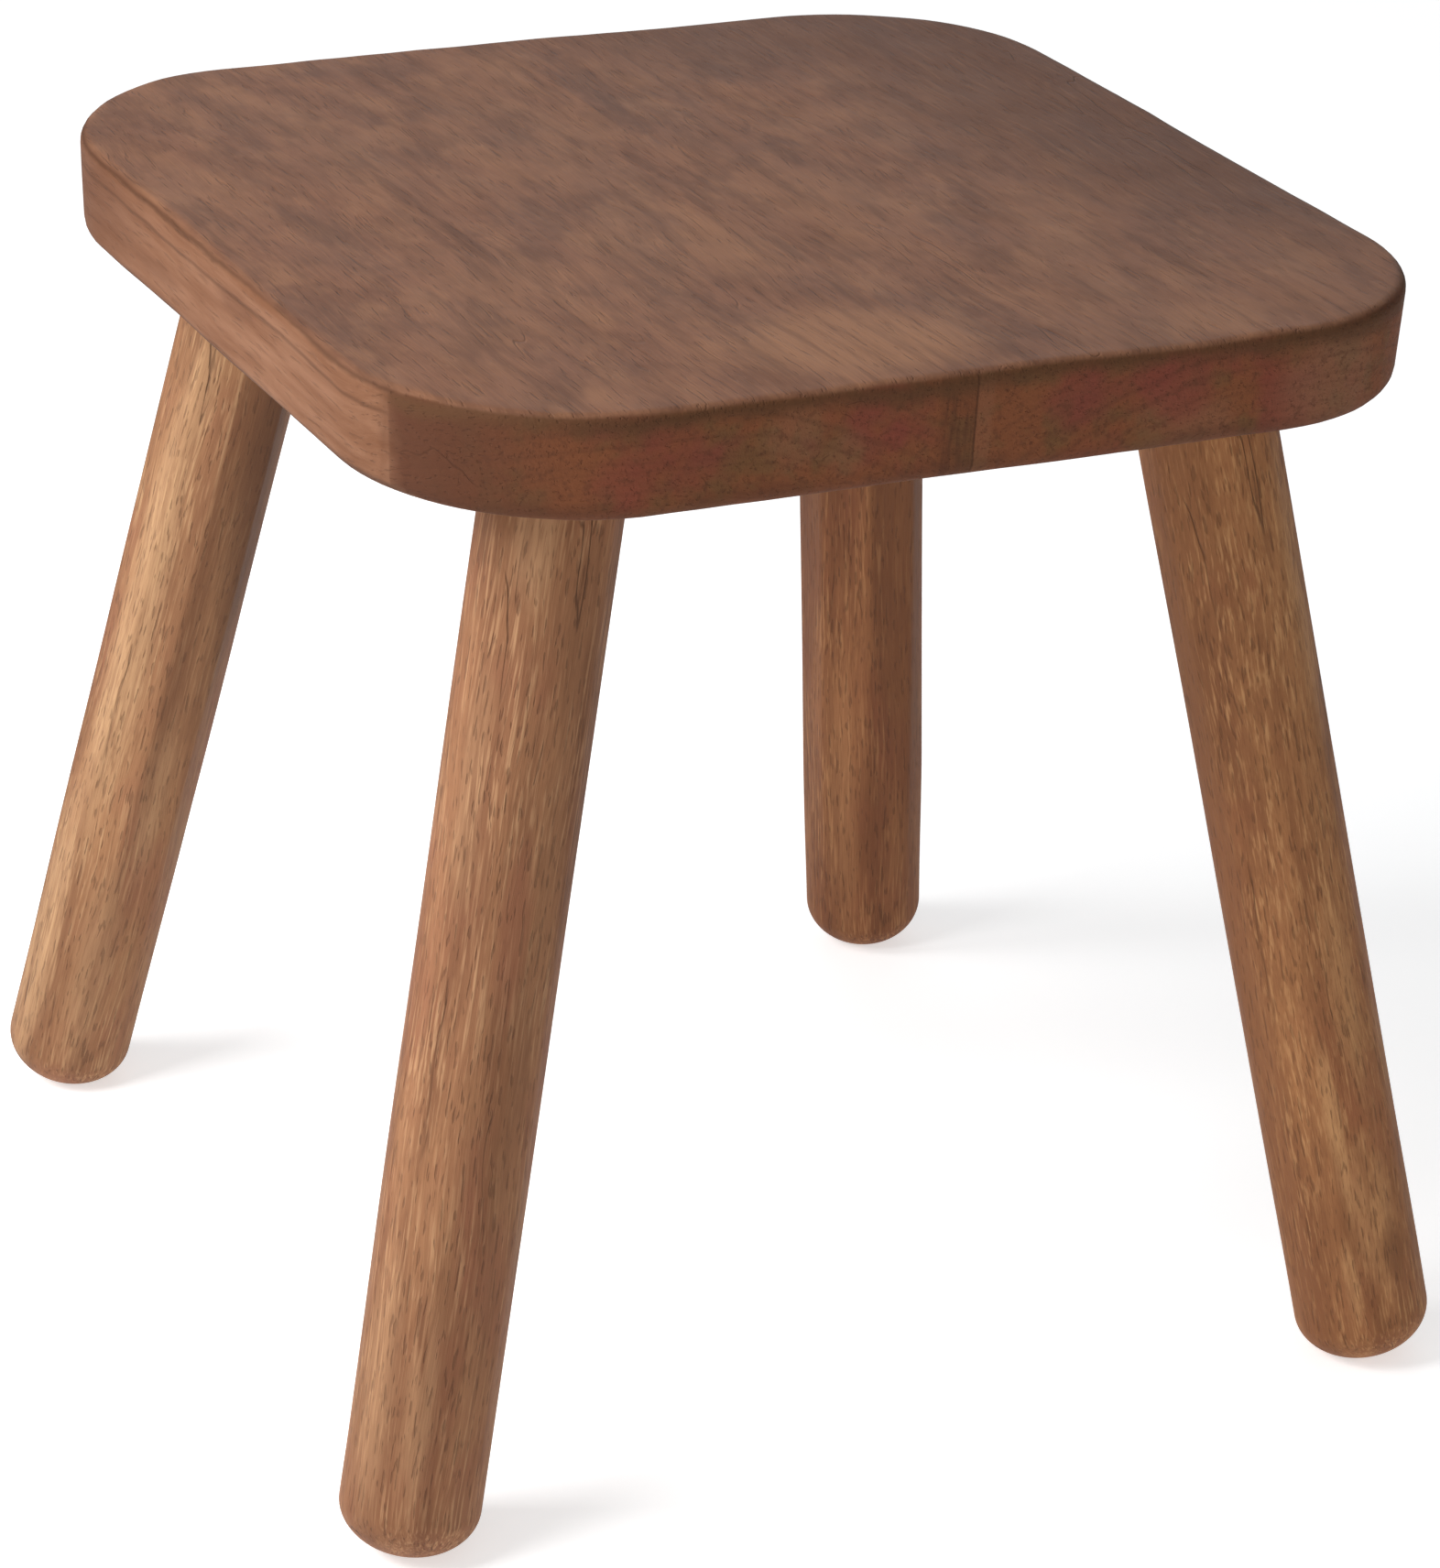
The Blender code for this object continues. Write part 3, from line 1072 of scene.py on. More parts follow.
        # Painted shade: a dark band just under the top edge of the ends and one along their bottom edge,
        # where the rounding turns from the light.
        painted_shade_bands = (
            (plan.seat_top, self.upper_band, self.edge),
            (plan.seat_underside, self.lower_band, self.end_dark),
        )
        for edge_height, band, tint in painted_shade_bands:
            mask = bench.band(wavy, edge_height - band.below, band.half_width)
            colour = bench.tinge(colour, tint, bench.value("MULTIPLY", mask, board.end), band.strength)
        flank = bench.value("SUBTRACT", 1.0, board.end)
        for line in self.flank_lines:
            mask = bench.band(steady, plan.seat_top - line.below, line.half_width)
            colour = bench.tinge(colour, self.grime, bench.value("MULTIPLY", mask, flank), line.strength)
        joint = bench.band(x, plan.joint_x, self.joint_half_width)
        return bench.tinge(colour, self.grime, joint, self.joint_strength)


@dataclass(frozen=True)
class BareWoodFinish:
    """Unstained wood, as inside a joint."""

    wood: Tint = (0.480, 0.310, 0.180)
    dark: Tint = (0.330, 0.190, 0.095)
    relief: float = 0.0002

    def material(self, name: str, effects: WoodEffects, origin: Vector, turn: Matrix) -> bpy.types.Material:
        """Make the material of one hidden piece.

        Args:
            name: the material's name.
            effects: the shared groups.
            origin: a point on the piece's axis.
            turn: the rotation that takes Z to the grain's direction.

        Returns:
            The material.
        """
        material, bench, shader = new_material(name)
        place = grain_place(bench, origin, turn)
        streak, fibre = effects.streaks.use(bench, place, width=0.0016, length=0.022)
        (pore,) = effects.pores.use(bench, place, width=0.0005, length=0.004, rarity=0.62)
        colour = bench.mix(bench.step(streak, 0.35, 0.65), self.dark, self.wood)
        colour = bench.tinge(colour, self.dark, pore, 0.5)
        bench.feed(shader.inputs["Base Color"], colour)
        bench.feed(shader.inputs["Roughness"], bench.value("MULTIPLY_ADD", fibre, 0.2, 0.6))
        add_bump(bench, shader, fibre, self.relief)
        return material


# ------------------------------------------------------------------------------ shapes


@dataclass(frozen=True)
class StoolPlan:
    """The sizes that the pieces share: places read from the frame, and the joinery's sizes."""

    seat_top: float
    seat_underside: float
    joint_x: float
    feet: dict[Corner, Vector]
    seat_width: float = 0.290
    seat_depth: float = 0.290
    corner_radius: float = 0.060
    side_lean: float = 0.001
    socket_inset_x: float = 0.0555
    socket_inset_y: float = 0.051
    socket_roof: float = 0.0065
    leg_radius: float = 0.01825
    tenon_radius: float = 0.012
    kerf_depth: float = 0.014
    kerf_top_width: float = 0.0042
    kerf_root_width: float = 0.0018
    fit_gap: float = 0.0003
    end_gap: float = 0.0008
    board_gap: float = 0.00004

    @classmethod
    def from_frame(cls) -> "StoolPlan":
        """Read the seat's heights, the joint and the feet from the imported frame.

        Returns:
            The plan.
        """
        low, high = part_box("seat_board_left")
        joint_x = (high.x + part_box("seat_board_right")[0].x) / 2
        mounts = {mount["name"]: Vector(mount["pos_m"]) for mount in frame["record"]["mounts"]}
        feet = {corner: mounts[f"foot_{corner.label}"] for corner in Corner}
        return cls(seat_top=high.z, seat_underside=low.z, joint_x=joint_x, feet=feet)


@dataclass(frozen=True)
class LegPlace:
    """Where a leg stands: its foot, its turn, and lengths along its axis from the floor."""

    foot: Vector
    turn: Matrix
    length: float
    socket_end: float

    @classmethod
    def at(cls, corner: Corner, plan: StoolPlan) -> "LegPlace":
        """Work out the place of the leg at a corner.

        Args:
            corner: the leg's corner.
            plan: the stool's sizes.

        Returns:
            The leg's place.
        """
        side_x, side_y = corner.value
        mouth = Vector((
            side_x * (plan.seat_width / 2 - plan.socket_inset_x),
            side_y * (plan.seat_depth / 2 - plan.socket_inset_y),
            plan.seat_underside,
        ))
        foot = plan.feet[corner]
        axis = (mouth - foot).normalized()
        along_grain = Vector((0, 1, 0))
        local_y = (along_grain - axis * along_grain.dot(axis)).normalized()
        turn = Matrix((local_y.cross(axis), local_y, axis)).transposed()
        length = (mouth - foot).length
        rise = (plan.tenon_radius + plan.fit_gap) * math.sqrt(1 - axis.z**2)
        thickness = plan.seat_top - plan.seat_underside
        depth = (thickness - plan.socket_roof - rise) / axis.z
        return cls(foot, turn, length, length + depth)

    @property
    def matrix(self) -> Matrix:
        """The transform from the upright leg to its place."""
        return Matrix.Translation(self.foot) @ self.turn.to_4x4()


def cut_flat(body: bmesh.types.BMesh, point: Vector, outward: Vector) -> None:
    """Cut away what lies beyond a plane and close the cut with a flat face.

    Args:
        body: the shape that is cut.
        point: a point of the plane.
        outward: the plane's normal, towards what goes.
    """
    bmesh.ops.bisect_plane(
        body,
        geom=body.verts[:] + body.edges[:] + body.faces[:],
        dist=CUT_TOLERANCE,
        plane_co=point,
        plane_no=outward,
        clear_outer=True,
    )
    open_edges = [edge for edge in body.edges if edge.is_boundary]
    bmesh.ops.contextual_create(body, geom=open_edges)


def cylinder(radius: float, bottom: float, top: float, segments: int, place: Matrix) -> bmesh.types.BMesh:
    """Make a closed cylinder along a placed Z axis.

    Args:
        radius: its radius.
        bottom: its lower end along the axis.
        top: its upper end along the axis.
        segments: its number of sides.
        place: the transform of the axis.

    Returns:
        The cylinder.
    """
    body = bmesh.new()
    middle = Matrix.Translation((0, 0, (bottom + top) / 2))
    bmesh.ops.create_cone(
        body,
        cap_ends=True,
        segments=segments,
        radius1=radius,
        radius2=radius,
        depth=top - bottom,
        matrix=place @ middle,
    )
    return body


def to_object(name: str, body: bmesh.types.BMesh) -> bpy.types.Object:
    """Turn a bmesh into an object at the origin, with its place in its mesh.

    Args:
        name: the object's name.
        body: the shape, which is used up.

    Returns:
        The object.
    """
    bmesh.ops.recalc_face_normals(body, faces=body.faces)
    mesh = bpy.data.meshes.new(name)
    body.to_mesh(mesh)
    body.free()
    thing = bpy.data.objects.new(name, mesh)
    bpy.context.scene.collection.objects.link(thing)
    return thing


def combine(thing: bpy.types.Object, operation: str, body: bmesh.types.BMesh) -> None:
    """Add a shape to an object's solid, or cut it away, and keep the result as its mesh.

    Args:
        thing: the object that changes.
        operation: UNION or DIFFERENCE.
        body: the other shape, which is used up.
    """
    tool = to_object("cutting_shape", body)
    modifier = thing.modifiers.new("joinery", "BOOLEAN")
    modifier.operation = operation
    modifier.solver = "EXACT"
    modifier.object = tool
    evaluated = thing.evaluated_get(bpy.context.evaluated_depsgraph_get())
    result = bpy.data.meshes.new_from_object(evaluated)
    thing.modifiers.clear()
    thing.data = result
    bpy.data.objects.remove(tool, do_unlink=True)


def finish_piece(thing: bpy.types.Object, node: str, material: bpy.types.Material) -> None:
    """Shade a piece, dress it, and let it stand for its node in the frame.

    Args:
        thing: the piece.
        node: the node it stands for.
        material: its material.
    """
    thing.data.shade_smooth()
    thing.data.set_sharp_from_angle(angle=SHARP_ANGLE)
    thing.data.materials.clear()
    thing.data.materials.append(material)
    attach(thing, ROOT_BODY)
    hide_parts(node)
    LOG.info("%s: %d faces, stands for %s", thing.name, len(thing.data.polygons), node)


@dataclass
class SeatBoard:
    """One board of the seat, cut from the whole slab at the glued joint."""

    side: BoardSide
    plan: StoolPlan
    cell: float = 0.0042
    corner_segments: int = 20
    edge_segments: int = 5
    back_left_ease: float = 0.0045
    top_edge_round: float = 0.0032
    bottom_edge_round: float = 0.0045
    level_cuts: tuple[float, ...] = (0.3, 0.5, 0.7)
    top_swell: float = 0.00035
    side_swell: float = 0.00040
    arris_wear: float = 0.0005
    plane_waves: tuple[float, float] = (34, 12)
    dent_waves: tuple[float, float] = (90, 70)
    side_waves: tuple[float, float] = (26, 40)
    arris_waves: float = 38
    rim_from: float = 0.85
    arris_from: float = 0.7
    hole_segments: int = 24
    socket_segments: int = 32

    def build(self, finish: SeatFinish, effects: WoodEffects) -> bpy.types.Object:
        """Build and dress the board.

        Args:
            finish: the seat's finish.
            effects: the shared shader groups.

        Returns:
            The finished board.
        """
        node = f"seat_board_{self.side.label}"
        slab = self._slab()
        self._slice(slab)
        gap = self.side.value * self.plan.board_gap / 2
        cut_flat(slab, Vector((self.plan.joint_x + gap, 0, 0)), Vector((-self.side.value, 0, 0)))
        self._hand_work(slab)
        board = to_object(f"{node}_planed", slab)
        self._drill(board)
        material = finish.material(f"{node}_stain", effects, self.plan, self.side)
        finish_piece(board, node, material)
        return board

    def _outline(self, inset: float) -> list[tuple[float, float]]:
        """Draw the seat's outline, counter-clockwise.

        Args:
            inset: how far it is drawn in from the full size.

        Returns:
            The outline's points.
        """
        points = []
        corners = (Corner.BACK_RIGHT, Corner.BACK_LEFT, Corner.FRONT_LEFT, Corner.FRONT_RIGHT)
        for turn, corner in enumerate(corners):
            sawn = self.plan.corner_radius
            if corner is Corner.BACK_LEFT:
                sawn += self.back_left_ease
            radius = sawn - inset
            centre_x = corner.value[0] * (self.plan.seat_width / 2 - sawn)
            centre_y = corner.value[1] * (self.plan.seat_depth / 2 - sawn)
            for step in range(self.corner_segments + 1):
                angle = math.pi / 2 * (turn + step / self.corner_segments)
                points.append((centre_x + radius * math.cos(angle), centre_y + radius * math.sin(angle)))
        return points

    def _slab(self) -> bmesh.types.BMesh:
        """Extrude the outline, lean its sides and round its edges.

        Returns:
            The whole slab.
        """
        plan = self.plan
        slab = bmesh.new()
        corners = [slab.verts.new((x, y, plan.seat_underside)) for x, y in self._outline(plan.side_lean)]
        underside = slab.faces.new(corners)
        raised = bmesh.ops.extrude_face_region(slab, geom=[underside])["geom"]
        top_corners = [item for item in raised if isinstance(item, bmesh.types.BMVert)]
        bmesh.ops.translate(slab, verts=top_corners, vec=(0, 0, plan.seat_top - plan.seat_underside))
        spread_x = plan.seat_width / (plan.seat_width - 2 * plan.side_lean)
        spread_y = plan.seat_depth / (plan.seat_depth - 2 * plan.side_lean)
        bmesh.ops.scale(slab, verts=top_corners, vec=(spread_x, spread_y, 1))
        bmesh.ops.recalc_face_normals(slab, faces=slab.faces)
        rounds = ((plan.seat_top, self.top_edge_round), (plan.seat_underside, self.bottom_edge_round))
        for height, radius in rounds:
            rim = [
                edge for edge in slab.edges if all(abs(v.co.z - height) < SAME_PLACE for v in edge.verts)
            ]
            bmesh.ops.bevel(
                slab,
                geom=rim,
                offset=radius,
                offset_type="OFFSET",
                affect="EDGES",
                segments=self.edge_segments,
                profile=0.5,
                material=-1,
                clamp_overlap=True,
            )
        return slab

    def _slice(self, slab: bmesh.types.BMesh) -> None:
        """Slice the slab into small cells, so that its faces can swell and dip.

        Args:
            slab: the slab.
        """
        plan = self.plan
        cuts = []
        for axis, half in ((0, plan.seat_width / 2), (1, plan.seat_depth / 2)):
            count = round(2 * half / self.cell)
            for step in range(1, count):
                point, direction = Vector(), Vector()
                point[axis] = -half + 2 * half * step / count
                direction[axis] = 1.0
                cuts.append((point, direction))
        for share in self.level_cuts:
            level = plan.seat_underside + share * (plan.seat_top - plan.seat_underside)
            cuts.append((Vector((0, 0, level)), Vector((0, 0, 1))))
        for point, direction in cuts:
            bmesh.ops.bisect_plane(
                slab,
                geom=slab.verts[:] + slab.edges[:] + slab.faces[:],
                dist=CUT_TOLERANCE,
                plane_co=point,
                plane_no=direction,
            )

    def _hand_work(self, slab: bmesh.types.BMesh) -> None:
        """Give the faces the slight hollows of a plane and years of use.

        Args:
            slab: the slab.
        """
        middle = (self.plan.seat_top + self.plan.seat_underside) / 2
        half = (self.plan.seat_top - self.plan.seat_underside) / 2
        for vertex in slab.verts:
            x, y, z = vertex.co
            level = (z - middle) / half
            planed = noise.noise(Vector((x * self.plane_waves[0], y * self.plane_waves[1], 3.0 * level)))
            dented = noise.noise(Vector((x * self.dent_waves[0], y * self.dent_waves[1], 5.0 * level)))
            vertex.co.z += self.top_swell * level * (0.75 * planed + 0.35 * dented - 0.3)
            outward = Vector((x / (self.plan.seat_width / 2), y / (self.plan.seat_depth / 2), 0))
            rim = max(abs(outward.x), abs(outward.y))
            if rim > self.rim_from:
                around, up = self.side_waves
                wave = noise.noise(Vector((x * around, y * around, up * z + 9.0)))
                near_rim = (rim - self.rim_from) / (1 - self.rim_from)
                vertex.co += outward.normalized() * self.side_swell * wave * near_rim
                worn = max(0.0, level - self.arris_from) / (1 - self.arris_from) * near_rim
                dip = 0.55 + noise.noise(Vector((x * self.arris_waves, y * self.arris_waves, 2.0)))
                vertex.co.z -= self.arris_wear * worn * max(0.0, dip)

    def _drill(self, board: bpy.types.Object) -> None:
        """Cut the dowel holes in the joint and the sockets in the underside.

        Args:
            board: the board.
        """
        plan = self.plan
        for node in DOWEL_NODES:
            low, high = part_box(node)
            middle = (low + high) / 2
            reach = (high.x - low.x) / 2 + plan.end_gap
            radius = (high.z - low.z) / 2 + plan.fit_gap
            along_x = Matrix.Translation(middle) @ Matrix.Rotation(math.pi / 2, 4, "Y")
            combine(board, "DIFFERENCE", cylinder(radius, -reach, reach, self.hole_segments, along_x))
        for corner in Corner:
            if corner.value[0] == self.side.value:
                place = LegPlace.at(corner, plan)
                radius = plan.tenon_radius + plan.fit_gap
                mouth = place.length - 2 * plan.tenon_radius
                socket = cylinder(radius, mouth, place.socket_end, self.socket_segments, place.matrix)
                combine(board, "DIFFERENCE", socket)


@dataclass
class Leg:
    """One leg: a stick rounded by eye with long flats, a domed foot and a split tenon."""

    corner: Corner
    plan: StoolPlan
    seed: int
    tone: Tint = (1.0, 1.0, 1.0)
    marks: LegMarks = LegMarks()
    flats: int = 11
    flat_share: float = 0.65
    flats_from: float = 0.035
    edge_azimuth: float = 0.0
    softening: float = 0.10
    segments: int = 88
    ring_spacing: float = 0.004
    dome_height: float = 0.0135
    dome_rings: int = 22
    foot_wear: float = 0.0003
    wobble: float = 0.00025
    swell_waves: tuple[float, float] = (40, 14)
    fullness: float = 1.012
    edge_twist: float = 0.35
    edge_drift: float = 0.22
    tenon_segments: int = 40
    kerf_overshoot: float = 0.004

    def build(self, finish: LegFinish, effects: WoodEffects) -> bpy.types.Object:
        """Build and dress the leg.

        Args:
            finish: the legs' finish.
            effects: the shared shader groups.

        Returns:
            The finished leg.
        """
        node = f"leg_{self.corner.label}"
        place = LegPlace.at(self.corner, self.plan)
        stick = self._stick(place)
        self._shave(stick)
        bmesh.ops.transform(stick, matrix=place.matrix, verts=stick.verts)
        cut_flat(stick, Vector((0, 0, 0)), Vector((0, 0, -1)))
        shoulder = self.plan.seat_underside - self.plan.board_gap
        cut_flat(stick, Vector((0, 0, shoulder)), Vector((0, 0, 1)))
        leg = to_object(f"{node}_shaved", stick)
        self._cut_tenon(leg, place)
        material = finish.material(f"{node}_stain", effects, place.foot, place.turn, self.tone, self.marks)
        finish_piece(leg, node, material)
        return leg

    def _stick(self, place: LegPlace) -> bmesh.types.BMesh:
        """Spin the upright stick: the dome first, then rings up its length.

        Args:
            place: where the leg stands.

        Returns:
            The stick.
        """
        radius = self.plan.leg_radius
        profile = []
        for step in range(self.dome_rings + 1):
            angle = math.pi / 2 * step / self.dome_rings
            height = self.dome_height * (1 - math.cos(angle)) - self.foot_wear
            profile.append((radius * math.sin(angle), height))
        top = place.length + 2 * radius
        start = self.dome_height - self.foot_wear
        rings = round((top - start) / self.ring_spacing)
        for step in range(1, rings + 1):
            profile.append((radius, start + (top - start) * step / rings))
        profile.append((0.0, top))
        stick = bmesh.new()
        points = [stick.verts.new((r, 0.0, z)) for r, z in profile]
        edges = [stick.edges.new(pair) for pair in zip(points, points[1:])]
        bmesh.ops.spin(
            stick,
            geom=points + edges,
            cent=(0, 0, 0),
            axis=(0, 0, 1),
            angle=math.tau,
            steps=self.segments,
            use_merge=True,
        )
        bmesh.ops.remove_doubles(stick, verts=stick.verts, dist=SAME_PLACE)
        return stick

    def _flat_radius(self, angle: float, height: float) -> float:
        """Find how far in the shaved stick's face lies.

        Args:
            angle: the direction from the axis.
            height: the height above the foot.

        Returns:
            Its radius as a share of the round one's.
        """
        width = math.tau / self.flats
        turn = self.edge_twist * noise.noise(Vector((self.seed * 3.7, 0.0, height * 5.0)))
        position = (angle - math.radians(self.edge_azimuth - 90) + turn * width) / width
        index = math.floor(position)
        start, following = (
            edge
            + self.edge_drift
            * noise.noise(Vector((edge % self.flats * 2.3, self.seed * 5.1, height * 3.0)))
            for edge in (index, index + 1)
        )
        if position < start:
            start, following = start - 1, start
        elif position > following:
            start, following = following, following + 1
        half = (following - start) * width / 2
        away = (position - (start + following) / 2) * width
        flat = math.cos(half) / math.cos(min(abs(away), half))
        return 1 + self.flat_share * (flat - 1)

    def _shave(self, stick: bmesh.types.BMesh) -> None:
        """Take long uneven flats off the round stick, as a drawknife leaves them.

        Args:
            stick: the stick.
        """
        softening = [self.softening * share for share in (-1.0, -0.5, 0.0, 0.5, 1.0)]
        even_share = 1 - self.flat_share * (math.pi / self.flats) ** 2 / 3
        round_below = self.dome_height / 2
        for vertex in stick.verts:
            x, y, z = vertex.co
            radius = math.hypot(x, y)
            if radius < SAME_PLACE:
                continue
            angle = math.atan2(y, x) % math.tau
            flat = sum(self._flat_radius(angle + turn, z) for turn in softening) / len(softening)
            rise = min(1.0, max(0.0, (z - round_below) / (self.flats_from - round_below)))
            share = even_share + rise * rise * (3 - 2 * rise) * (flat - even_share)
            around, along = self.swell_waves
            swell = noise.noise(Vector((x * around, y * around, z * along + 11.0 * self.seed)))
            share *= self.fullness + self.wobble / self.plan.leg_radius * swell
            vertex.co.x *= share
            vertex.co.y *= share

    def _cut_tenon(self, leg: bpy.types.Object, place: LegPlace) -> None:
        """Add the tenon above the shoulder and split its end for the wedge.

        Args:
            leg: the leg.
            place: where it stands.
        """
        plan = self.plan
        tenon_end = place.socket_end - plan.end_gap
        root = place.length - 2 * plan.leg_radius
        tenon = cylinder(plan.tenon_radius, root, tenon_end, self.tenon_segments, place.matrix)
        combine(leg, "UNION", tenon)
        kerf = bmesh.new()
        bmesh.ops.create_cube(kerf, size=1.0)
        taper = (plan.kerf_top_width - plan.kerf_root_width) / plan.kerf_depth
        over = self.kerf_overshoot
        for corner in kerf.verts:
            rise = plan.kerf_depth + over if corner.co.z > 0 else 0.0
            half_width = (plan.kerf_root_width + taper * rise) / 2
            corner.co.x = math.copysign(plan.tenon_radius + over, corner.co.x)
            corner.co.y = math.copysign(half_width, corner.co.y)
            corner.co.z = tenon_end - plan.kerf_depth + rise
        bmesh.ops.transform(kerf, matrix=place.matrix, verts=kerf.verts)
        combine(leg, "DIFFERENCE", kerf)


def on_leg(azimuth: float, height: float) -> tuple[float, float, float]:
    """Find a point of an upright leg's face.

    Args:
        azimuth: its direction from the leg's axis, in degrees from the front.
        height: its height above the foot.

    Returns:
        The point.
    """
    around = math.radians(azimuth)
    radius = StoolPlan.leg_radius
    return (radius * math.sin(around), -radius * math.cos(around), height)


FRONT_LEFT_MARKS = LegMarks(
    pale=(
        Mark(on_leg(-35, 0.262), 0.0080, 0.020, 0.65),
        Mark(on_leg(-60, 0.200), 0.0050, 0.040, 0.30),
        Mark(on_leg(-72, 0.045), 0.0090, 0.045, 0.36),
        Mark(on_leg(-30, 0.042), 0.0060, 0.035, 0.35),
    ),
    dark=(
        Mark(on_leg(-38, 0.064), 0.0008, 0.011, 0.85),
        Mark(on_leg(-33, 0.057), 0.0007, 0.009, 0.85),
        Mark(on_leg(5, 0.125), 0.0100, 0.045, 0.32),
        Mark(on_leg(10, 0.240), 0.0100, 0.030, 0.35),
    ),
    red=(Mark(on_leg(-10, 0.165), 0.0060, 0.030, 0.50),),
)
FRONT_RIGHT_MARKS = LegMarks(
    pale=(
        Mark(on_leg(-22, 0.072), 0.0034, 0.032, 0.60),
        Mark(on_leg(-30, 0.028), 0.0030, 0.016, 0.50),
        Mark(on_leg(-2, 0.045), 0.0090, 0.030, 0.40),
        Mark(on_leg(6, 0.110), 0.0060, 0.040, 0.35),
        Mark(on_leg(36, 0.220), 0.0070, 0.055, 0.50),
    ),
    dark=(
        Mark(on_leg(12, 0.034), 0.0060, 0.012, 0.75),
        # Painted shade: darkens the left side just under the seat.
        Mark(on_leg(-60, 0.262), 0.0100, 0.030, 0.50),
        Mark(on_leg(50, 0.045), 0.0060, 0.040, 0.34),
        # Painted shadow: darkens the whole left side, where the front-left leg and the seat shade it.
        Mark(on_leg(-88, 0.130), 0.0120, 0.170, 0.75),
    ),
)
BACK_RIGHT_MARKS = LegMarks(
    pale=(Mark(on_leg(-50, 0.060), 0.0070, 0.070, 0.26), Mark(on_leg(-46, 0.262), 0.0080, 0.040, 0.42)),
    dark=(
        Mark(on_leg(25, 0.150), 0.0140, 0.160, 0.60),
        Mark(on_leg(-90, 0.180), 0.0090, 0.090, 0.56),
        Mark(on_leg(-2, 0.190), 0.0070, 0.050, 0.34),
    ),
    red=(Mark(on_leg(-35, 0.200), 0.0060, 0.060, 0.40),),
)
BACK_LEFT_MARKS = LegMarks(
    pale=(
        Mark(on_leg(-60, 0.160), 0.0100, 0.090, 0.66),
        Mark(on_leg(-50, 0.235), 0.0070, 0.020, 0.45),
        Mark(on_leg(-18, 0.225), 0.0007, 0.036, 0.80),
        Mark(on_leg(-20, 0.045), 0.0080, 0.045, 0.34),
        Mark(on_leg(-82, 0.050), 0.0100, 0.060, 0.60),
        Mark(on_leg(-2, 0.105), 0.0060, 0.040, 0.40),
    ),
    dark=(
        # Painted shade: darkens the right side near the top, which lies in shade under the seat.
        Mark(on_leg(18, 0.235), 0.0120, 0.060, 0.85),
        Mark(on_leg(35, 0.140), 0.0100, 0.080, 0.40),
        Mark(on_leg(-14, 0.170), 0.0080, 0.100, 0.52),
        # Painted shade: darkens the right side near the top, under the seat.
        Mark(on_leg(66, 0.195), 0.0080, 0.060, 0.50),
    ),
    red=(Mark(on_leg(-30, 0.004), 0.0120, 0.010, 0.50),),
    # Painted shade: darkens the right part towards the top, under the seat.
    grimy=(Mark(on_leg(32, 0.205), 0.0120, 0.095, 0.52),),
)


@dataclass
class HiddenJoinery:
    """The dowels and wedges, which stay as the frame has them."""

    plan: StoolPlan
    finish: BareWoodFinish

    def dress(self, effects: WoodEffects) -> None:
        """Give every dowel and wedge a bare-wood material along its own grain.

        Args:
            effects: the shared groups.
        """
        along_x = Matrix.Rotation(math.pi / 2, 3, "Y")
        for name in DOWEL_NODES:
            low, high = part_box(name)
            self._paint(name, self.finish.material(f"{name}_bare", effects, (low + high) / 2, along_x))
        for corner in Corner:
            name = f"wedge_{corner.label}"
            place = LegPlace.at(corner, self.plan)
            self._paint(name, self.finish.material(f"{name}_bare", effects, place.foot, place.turn))

    def _paint(self, name: str, material: bpy.types.Material) -> None:
        """Put a material in every slot of a frame node.

        Args:
            name: the node.
            material: the material.
        """
        for material_slot in frame["nodes"][name].material_slots:
            material_slot.material = material
        LOG.info("%s: stays as in the frame, bare wood", name)


# ------------------------------------------------------------------------------ the studio


@dataclass(frozen=True)
class Softbox:
    """A square soft light that looks at the stool, placed by azimuth and elevation in degrees."""

    name: str
    azimuth: float
    elevation: float
    distance: float
    size: float
    power: float
    tint: Tint = (1.0, 1.0, 1.0)

    def hang(self, aim: Vector) -> None:
        """Add the light to the scene.

        Args:
            aim: the point it is aimed at.
        """
        light = bpy.data.lights.new(self.name, "AREA")
        light.shape = "SQUARE"
        light.size = self.size
        light.energy = self.power
        light.color = self.tint
        lamp = bpy.data.objects.new(self.name, light)
        towards = direction(self.azimuth, self.elevation)
        lamp.location = aim + towards * self.distance
        lamp.rotation_euler = towards.to_track_quat("Z", "Y").to_euler()
        bpy.context.scene.collection.objects.link(lamp)


def direction(azimuth: float, elevation: float) -> Vector:
    """Return the direction from the stool towards an azimuth and elevation in degrees."""
    around, up = math.radians(azimuth), math.radians(elevation)
    return Vector((math.sin(around) * math.cos(up), -math.cos(around) * math.cos(up), math.sin(up)))


